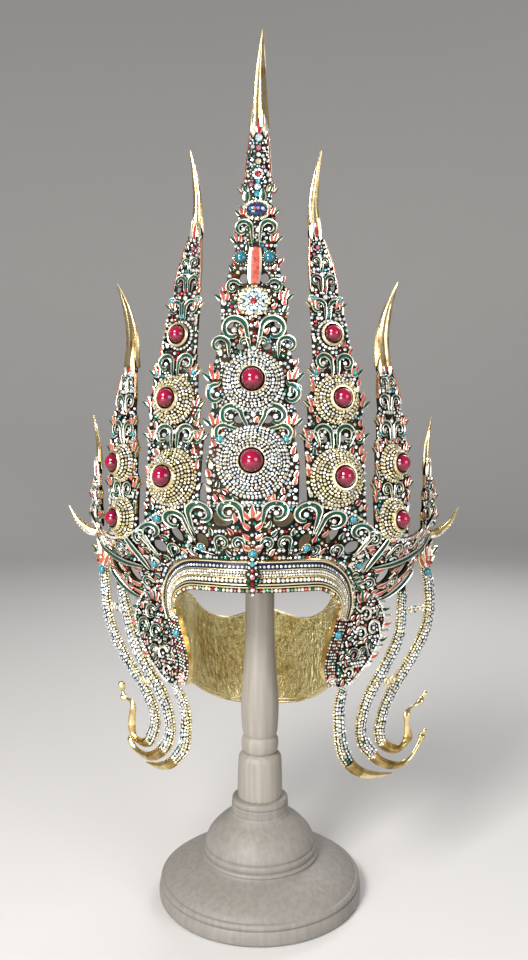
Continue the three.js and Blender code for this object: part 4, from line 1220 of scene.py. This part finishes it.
cheek = {
    "rows": [(220.5, 9.5, 20), (225, 7.2, 29), (239, 6.1, 46), (256, 9.6, 59), (277, 18.5, 66.5),
             (290, 23, 63), (299, 25.5, 57), (306, 27, 50), (312, 29, 41)],    # height, inner, outer edge
    "thick": 4, "mix": {"white": 60, "champagne": 10, "red": 5, "green": 14, "coral": 7, "rose": 4},
    "fills": [(3.4, 1.7, 1), (2.4, 1.15, 1), (1.7, 0.8, 0.12)],            # pitch, radius, share
}
cheekVolutes = [((28, 294), (41, 285), 7, 150, -400, 4.8), ((24, 275), (35, 267), 7, 160, -400, 4.8),
                ((16, 256), (26, 248), 6.4, 160, -400, 4.4), ((60, 258), (51, 271), 7, 20, 400, 4.8),
                ((12, 239), (21, 232), 5.2, 160, -400, 3.8), ((44, 243), (37, 249), 5.2, 20, 400, 3.8)]


def cheekEdges(up):                      # inner and outer edge at a height
    return linearRun(cheek["rows"], up)


def cheekSpots(pitch):
    return staggered(221.5, 311, pitch, 0, lambda y: (*cheekEdges(y), 0))


def cheekPlate(word, side):
    rows = cheek["rows"][::-1]
    outline = [(inner, up) for up, inner, outer in rows] + [(outer, up) for up, inner, outer in rows[::-1]]
    bm = cutPlate(outline, [], cheek["thick"], 0.8)
    for vert in bm.verts:
        x, up, z = vert.co
        vert.co = wingPoint(side, x, up, z + cheek["thick"] / 2)
    bmesh.ops.recalc_face_normals(bm, faces=bm.faces)
    addPiece(f"cheek_plate_{word}_back", bm, [gold, paintedShadeGround], [f"cheek_plate_{word}"])
    bed = Bed(lambda x, y, z: wingPoint(side, x, y, z + cheek["thick"] / 2), side)
    for root, eye, radius, begin, sweep, width in cheekVolutes:
        bed.volute(root, eye, radius, begin, sweep, width * 0.8, tint=dice.choice(("white", "ice", "rose")),
                   kind=dice.choice(("rib", "rib", "scroll")))
    bed.fan(38, 297, 10, 15, 5, 70, 4, 2.0, ("coral", "leaf"))             # leaves up to the crown wall
    up = 222.0
    while up < 310:                      # white stones down the outer edge
        inner, outer = cheekEdges(up)
        bed.stone(outer - 1, up, 1.6, "white", 0.3)
        step = cheekEdges(up + 1)[1] - outer
        up += 3.2 / math.hypot(1, step)
    for i in range(9):                   # a fringe of leaves towards the strands
        up = 236 + 7.5 * i
        bed.flame(cheekEdges(up)[1] - 2.5, up, 70 + 3 * i, 8.5 if side < 0 else 11.5, 4.6, -50, 1.4,
                  ("rib", "coral", "rib", "leaf")[i % 4])
    bed.scatter(cheekSpots(6.5), 7.0, 4.0, lambda x, y: dice.uniform(-40, 60))
    for pitch, radius, share in cheek["fills"]:
        bed.fill(cheekSpots(pitch), radius, cheek["mix"], share)
    bed.finish(f"cheek_plate_{word}")


for word, side in sides.items():
    cheekPlate(word, side)

# Strands: x, up, back and half width along each; the row where the stones stop and the bare hook begins
strandHalf, strandDepth = 5.8, 3.6
strands = {
    "outer": {
        "left": [(114, 337.2, 0, 4.8), (112, 302, 0, 6), (105, 266, 0, 6), (83, 235, 0, 6), (57, 206, 3, 6),
                 (45.4, 180, 5, 6), (51, 159, 5, 6), (60, 151, 5, 4.4), (70.5, 150.6, 5, 3.2),
                 (78, 155, 5, 3.4), (80.4, 163, 5, 4.4), (79.6, 174, 5, 3.8), (78, 183, 5, 3.4),
                 (81, 188, 5, 2.2), (87, 189.3, 5, 2), (92, 190.5, 5, 4.2), (93.2, 195, 5, 1.6),
                 (94.5, 200, 5, 4), (95.6, 204, 5, 3.6), (95.8, 205.5, 5, 0.4)],
        "right": [(114, 337.2, 0, 4.8), (125, 302, 0, 6), (123, 266, 0, 6), (103, 235, 0, 6),
                  (81, 205.7, 3, 6), (68.4, 180, 5, 6), (66.4, 160, 5, 6), (75.7, 148.3, 5, 5),
                  (88.3, 142.8, 5, 4), (98.5, 145.6, 5, 3.2), (104, 152, 5, 5.2), (103, 161, 5, 3.6),
                  (102.3, 168, 5, 3), (102.6, 175, 5, 4.2), (106, 180, 5, 1.7), (114, 182.5, 5, 1.6),
                  (121, 185.5, 5, 4), (124.4, 189, 5, 1.4), (127, 192, 5, 2.8), (129, 194.5, 5, 0.3)],
        "bare": {"left": 6.4, "right": 6.4}},
    "middle": {
        "left": [(89, 310.5, 0, 5.4), (72, 261, 0, 7), (52.8, 230, 0, 7), (29.4, 206, 0, 6.6),
                 (19.2, 180, 0, 6), (23.4, 161.4, 0, 6), (36.2, 148, 0, 5), (48.5, 141.7, 0, 4),
                 (61, 141.5, 0, 3.2), (71, 144.6, 0, 3), (77, 151.5, 0, 3.4), (79, 155, 0, 0.4)],
        "right": [(89, 310.5, 0, 4.8), (86, 261, 0, 6), (67, 230, 0, 6), (46, 203, 0, 6), (37.5, 177, 0, 6),
                  (41, 161, 0, 6), (49.5, 151, 0, 5.6), (60, 140, 0, 4.6), (75, 131.6, 0, 4),
                  (90, 128.6, 0, 3), (102, 131.8, 0, 2.2), (110, 139.5, 0, 2), (115.6, 146.6, 0, 2.2),
                  (118.6, 150.8, 0, 4.2), (120.6, 153.6, 0, 1.5), (122.6, 156, 0, 2.6), (124, 158, 0, 0.3)],
        "bare": {"left": 5.5, "right": 6.4}},
    "inner": {
        "left": [(13, 220, 0, 4.6), (-1, 206, -3, 6), (-9, 194, -7, 6), (-10.6, 182, -9, 6),
                 (-8.5, 169, -9, 6), (0, 157.5, -9, 5.4), (12, 146.4, -9, 4.6), (27, 140.8, -9, 3),
                 (44, 139.6, -9, 0.6)],
        "right": [(16, 219, 0, 4.6), (10, 208, -3, 6), (5.4, 196, -7, 6), (4.6, 182, -9, 6),
                  (6.4, 170, -9, 6), (11, 158, -9, 6), (22, 144, -9, 5), (37, 134.4, -9, 4),
                  (52.5, 130, -9, 2.6), (70, 127.4, -9, 0.6)],
        "bare": {"left": 5.4, "right": 5.5}},
}
# Rows of stones across a strand: share of the half width, share of the depth, radius, spacing, tints
strandStones = [
    (1.04, 0.14, 2.3, 1.2, ["white", "white", "white", "ice"]),
    (0.46, 0.60, 1.95, 1.06, ["white", "white", "ice"]),
    (-0.12, 0.66, 1.8, 1.06, ["white"] * 14 + ["champagne"] * 5 + ["green"]),
    (-0.64, 0.58, 1.6, 1.05, ["white", "champagne", "champagne"]),
    (-1.02, 0.16, 1.35, 1.1, ["champagne", "gilt"]),
]
strandLink = {"up": 282, "radius": 1.4, "ringUp": 217}


def strandPoint(rows, side, t, across, out):         # across and out as shares of the half width and depth
    x, up, back, half = smoothRun(rows, t)
    ahead, behind = smoothRun(rows, min(t + 0.01, 1)), smoothRun(rows, max(t - 0.01, 0))
    run = Vector((ahead[0] - behind[0], ahead[1] - behind[1])).normalized()
    depth = half * strandDepth / strandHalf
    return wingPoint(side, x - run.y * across * half, up + run.x * across * half, -back + out * depth)


def strandPiece(name, word, side):
    rows = strands[name][word]
    stop = strands[name]["bare"][word] / (len(rows) - 1)
    steps, around = 12 * (len(rows) - 1), 20

    def place(i, k):
        turn = 2 * math.pi * (k % around) / around
        across, out = math.cos(turn), math.sin(turn)
        if i / steps < stop:             # flat bed under the stones
            across, out = across * 0.96, min(out, 0.55)
        else:                            # ridged hook with knobs
            ridge = 1 + 0.08 * math.cos(4 * turn)
            across, out = across * ridge, out * ridge * 1.4
        return strandPoint(rows, side, i / steps, across, out)

    # the bed under the stones takes the painted shade; the first stretch of the hook takes the aged gold as
    # painted shade
    def finishOf(i, k):
        past = (i + 0.5) / steps - stop
        if past < 0:
            return 1 if k < 10 and past < -0.004 else 0
        return 2 if past < 0.3 * (1 - stop) else 0
    node = f"strand_{name}_{word}"
    tubePiece(f"{node}_core", steps, around, place, [gold, paintedShadeGround, agedGoldAndShade], [node], 50,
              finishOf)
    stones = []
    for share, out, size, spacing, order in strandStones:
        t = 0.012
        while t < stop + 0.004:
            lie = share + dice.uniform(-0.05, 0.05)
            here = strandPoint(rows, side, t, lie, out)
            radius = size * smoothRun(rows, t)[3] / 6 * dice.uniform(0.8, 1.06)
            normal = strandPoint(rows, side, t, lie * 1.6, out * 1.6 + 0.25) - here
            stones.append((here, normal, radius, dice.choice(order)))
            speed = (strandPoint(rows, side, t + 0.002, lie, out) - here).length / 0.002
            t += 2 * spacing * radius / speed
    strewStones(f"{node}_stones", stones, tilt=0.45)


def strandAt(name, word, up):
    rows = strands[name][word]
    return next(smoothRun(rows, i / 400)[0] for i in range(401) if smoothRun(rows, i / 400)[1] < up)


def strandTies(word, side):              # a bar and a double ring between the middle and the outer strand
    bm = bmesh.new()
    ends = []
    for name, inset in (("middle", 5), ("outer", -5)):
        ends.append(wingPoint(side, strandAt(name, word, strandLink["up"]) + inset, strandLink["up"], 0))
    start, end = ends
    radius, front = strandLink["radius"], wingPoint(side, 0, 0, 1) - wingPoint(side, 0, 0, 0)
    bmesh.ops.create_cone(bm, cap_ends=True, segments=16, radius1=radius, radius2=radius,
                          depth=(end - start).length, matrix=facing((start + end) / 2, end - start))
    addPiece(f"strand_link_{word}_bar", bm, [gold], [f"strand_link_{word}"])
    stones = []
    for i in range(5):
        spot = start.lerp(end, (i + 0.5) / 5)
        for up, size in ((0, 2.3), (2.6, 1.5), (-2.6, 1.5)):
            tint = ("champagne", "white", "green")[i % 3] if up else "white"
            stones.append((spot + Vector((0, 0, up)), front, size, tint))
    strewStones(f"strand_link_{word}_stones", stones)
    bm = bmesh.new()
    up = strandLink["ringUp"]
    inner, outer = strandAt("middle", word, up), strandAt("outer", word, up)
    ring = [(2.5 + 1.5 * math.cos(a), 1.5 * math.sin(a)) for a in [2 * math.pi * i / 10 for i in range(11)]]
    for share in (0.36, 0.60):
        spot = wingPoint(side, inner + (outer - inner) * share, up + 3 * (share - 0.5), 2.4)
        turnedShape(bm, ring, 20, facing(spot, front))
    addPiece(f"strand_ring_{word}", bm, [paleGold])


def strandCrest(word, side):             # leaves and a turquoise where the outer strand hangs from the wall
    bed = Bed(lambda x, y, z: wingPoint(side, x, y, z + 2.4), side)
    x = strandAt("outer", word, 322)
    bed.gem(f"strand_gem_{word}", x, 318, 4.4, "turquoise", 0.6)
    bed.fan(x, 323, 2, 24, 6.5, 64, 5, 1.8, ("coral", "plain", "coral"))
    bed.fan(x + 1, 332, 16, 20, 5.5, 50, 3, 2.6, ("coral", "rib", "leaf"))
    for dx, up, tint in ((-4, 326, "white"), (4, 327, "red"), (0, 331, "white"), (5, 335, "white"),
                         (-3, 337, "coral")):
        bed.stone(x + dx, up, 1.9, tint, 2.2)
    bed.finish(f"strand_crest_{word}")


for word, side in sides.items():
    for name in strands:
        strandPiece(name, word, side)
    strandTies(word, side)
    strandCrest(word, side)
print("sides hung")

# Horns: x, y, z, half width and half depth
hornRows = [(168.5, 30, 354, 5, 3), (176, 31, 356, 5, 3), (188, 31, 366, 3.2, 2), (197, 30, 381, 0.5, 0.4)]


def hornPiece(word, side):
    steps, around = 32, 24

    def place(i, k):
        t = i / steps
        x, y, z, half, depth = smoothRun(hornRows, t)
        ahead, behind = smoothRun(hornRows, min(t + 0.01, 1)), smoothRun(hornRows, max(t - 0.01, 0))
        run = (Vector(ahead[:3]) - Vector(behind[:3])).normalized()
        front = Vector((0, -1, 0))
        wide = run.cross(front).normalized()
        turn = 2 * math.pi * (k % around) / around
        swell = 0.66 + 0.14 * abs(math.cos(3 * turn))
        point = Vector((x, y, z)) + wide * half * swell * math.cos(turn)
        point = point + front * depth * swell * math.sin(turn)
        return Vector((side * point.x, point.y, point.z))
    tubePiece(f"horn_{word}_point", steps, around, place, [gold], [f"horn_{word}"], 50)
    stones = []
    for i in range(12):                  # stones up its lower edge
        x, y, z, half, depth = smoothRun(hornRows, 0.07 * i)
        spot = Vector((side * (x + 0.5 * half), y - depth * 0.8, z - 0.4 * half))
        stones.append((spot, Vector((side * 0.4, -1, -0.2)), 0.36 * half, "champagne" if i % 2 else "white"))
    strewStones(f"horn_{word}_stones", stones)


for word, side in sides.items():
    hornPiece(word, side)

# Nape plate: lower and upper edge of the right half, from the back round to the cheek
nape = {
    "lower": [(0, 90, 160), (34, 83, 164), (54, 62, 177), (65, 30, 195), (71, -5, 213), (75, -41.6, 228)],
    "upper": [(0, 97, 262), (40, 88, 254), (62, 66, 266), (74, 36, 289), (81, 0, 299), (85, -34.2, 296)],
    "thick": 1.6, "crinkle": 0.7,
    "hems": [(0.0, 1.5), (0.035, 1.1), (1.0, 1.1)],      # share of its height, radius
}


def bothWays(rows):
    return [(-x, y, z) for x, y, z in rows[:0:-1]] + rows


def napePlate():
    lower, upper = bothWays(nape["lower"]), bothWays(nape["upper"])
    around, high = 200, 60

    def napePoint(t, v):
        return Vector(smoothRun(lower, t)).lerp(Vector(smoothRun(upper, t)), v)

    def crinkled(t, v, z):
        point = napePoint(t, v)
        out = Vector((point.x, point.y - 20, 0)).normalized()
        dent = noise.noise(point * 0.11) + 0.7 * noise.noise(point * 0.33) + 0.5 * noise.noise(point * 0.75)
        return point + out * (dent * nape["crinkle"] * min(1, 6 * v, 6 * (1 - v)) + nape["thick"] / 2 + z)
    bm = bmesh.new()
    bentGrid(bm, around, high, lambda i, k: Vector((i / around, k / high, 0)))
    thicken(bm, nape["thick"])
    for vert in bm.verts:
        vert.co = crinkled(*vert.co)
    bmesh.ops.reverse_faces(bm, faces=bm.faces[:])
    addPiece("nape_plate_leaf", bm, [crinkledLeaf], ["nape_plate"], sharp=60)
    bm = bmesh.new()
    for v, radius in nape["hems"]:

        def hem(i, k, v=v, radius=radius):
            t = i / around
            spot = napePoint(t, v)
            run = (napePoint(min(t + 0.01, 1), v) - napePoint(max(t - 0.01, 0), v)).normalized()
            upward = (napePoint(t, 1) - napePoint(t, 0)).normalized()
            out = run.cross(upward).normalized()
            turn = 2 * math.pi * (k % 10) / 10
            return spot + (upward * math.sin(turn) + out * math.cos(turn)) * radius
        bentGrid(bm, around, 10, hem)
    closeEnds(bm)
    bmesh.ops.recalc_face_normals(bm, faces=bm.faces)
    addPiece("nape_plate_hem", bm, [paleGold])


napePlate()

# Ornament at the middle of the brow
browGem = {
    "y": -105.5, "up": 334, "wide": 13, "high": 34, "deep": 5,
    "middle": [(11, 2.4, "aqua"), (5.5, 2.0, "red"), (0, 2.6, "rose"), (-6, 2.0, "red"), (-11, 2.4, "rose"),
               (-15.2, 1.6, "white"), (15.2, 1.6, "champagne")],           # height, radius, tint
    "mix": {"white": 50, "green": 25, "coral": 20},
}


def browOrnament():
    bm = cutPlate(lobed(browGem["wide"], browGem["high"], 4, 72), [], browGem["deep"], 0.8)
    stand = Matrix.Rotation(math.pi / 2, 4, "X")
    middle = Matrix.Translation((0, browGem["y"] - browGem["deep"] / 2, browGem["up"])) @ stand
    front = middle @ Matrix.Translation((0, 0, browGem["deep"] / 2))
    bmesh.ops.transform(bm, matrix=front, verts=bm.verts)
    addPiece("brow_ornament_plate", bm, [gold, paintedShadeGround], ["brow_ornament"])
    bed = Bed(lambda x, y, z: middle @ Vector((x, y, z + browGem["deep"] / 2)), 1)
    for y, radius, tint in browGem["middle"]:
        bed.stone(0, y, radius, tint, 0.4)
    for y in (-12, -8.5, -3, 2.5, 8, 12):
        for x in (-3.6, 3.6):
            bed.stone(x * (1 - abs(y) / 40), y, 1.2, "white" if y > 0 else "green", 0.2)
    grid = [(x * 1.1, y * 1.1) for x in range(-5, 6) for y in range(-13, 14)]
    bed.fill([(x, y) for x, y in grid if math.hypot(x / 5.6, y / 14) < 1], 1.0, browGem["mix"])
    bed.finish("brow_ornament")


browOrnament()
print("nape plate and brow ornament set")

# Studio: a pale floor that rises behind, soft lights and the camera
studio = {"floor": 2.2, "rise": 3.4, "bend": 1.2,
          "light": (0.60, 0.59, 0.58, 1), "dark": (0.55, 0.54, 0.53, 1)}


def studioFloor():
    bm = bmesh.new()
    rows = [(0, 0), (studio["floor"], 0)]
    for i in range(1, 13):
        turn = math.pi / 2 * i / 12
        rise = studio["bend"] * (1 - math.cos(turn))
        rows.append((studio["floor"] + studio["bend"] * math.sin(turn), rise))
    rows.append((studio["floor"] + studio["bend"], studio["rise"]))
    turnedShape(bm, rows, 96)
    mesh = bpy.data.meshes.new("studio_floor")
    for face in bm.faces:
        face.smooth = True
    bm.to_mesh(mesh)
    bm.free()
    f = Finish("paleFloor")
    paper = f.noise(60, 3)
    mesh.materials.append(f.shade({
        "Base Color": f.blend(paper * 0.1, studio["light"], studio["dark"]), "Roughness": 0.85}))
    floor = bpy.data.objects.new("studio_floor", mesh)
    bpy.context.scene.collection.objects.link(floor)
    floor.location.z = -0.0005


def softLight(name, spot, aim, size, watts, colour=(1, 1, 1)):
    data = bpy.data.lights.new(name, "AREA")
    data.size, data.energy, data.color = size, watts, colour
    lamp = bpy.data.objects.new(name, data)
    lamp.location = spot
    lamp.rotation_euler = (Vector(aim) - Vector(spot)).to_track_quat("-Z", "Y").to_euler()
    bpy.context.scene.collection.objects.link(lamp)


studioFloor()
middle = (0, -0.05, 0.42)
softLight("keyLight", (-0.75, -1.35, 1.55), middle, 0.6, 46, (1.0, 0.98, 0.95))
softLight("fillLight", (1.25, -1.05, 0.75), middle, 0.9, 12)
softLight("lowLight", (-0.62, -1.30, 0.36), (0, 0.05, 0.23), 0.6, 14)
softLight("backLight", (0.5, 1.4, 1.5), middle, 0.9, 16)
world = bpy.data.worlds.new("studioAir")
world.use_nodes = True
world.node_tree.nodes["Background"].inputs["Color"].default_value = (0.5, 0.5, 0.52, 1)
world.node_tree.nodes["Background"].inputs["Strength"].default_value = 0.4
bpy.context.scene.world = world

view = {"lens": 31.875, "sensor": 36, "spot": (0.04717, -0.82366, 0.463), "down": 86.3, "turn": 3}
lens = bpy.data.cameras.new("viewLens")
lens.lens, lens.sensor_width = view["lens"], view["sensor"]
camera = bpy.data.objects.new("viewCamera", lens)
camera.location = view["spot"]
camera.rotation_euler = (math.radians(view["down"]), 0, math.radians(view["turn"]))
bpy.context.scene.collection.objects.link(camera)
bpy.context.scene.camera = camera
bpy.context.scene.view_settings.view_transform = "Standard"
print("studio set")

bpy.context.view_layer.update()
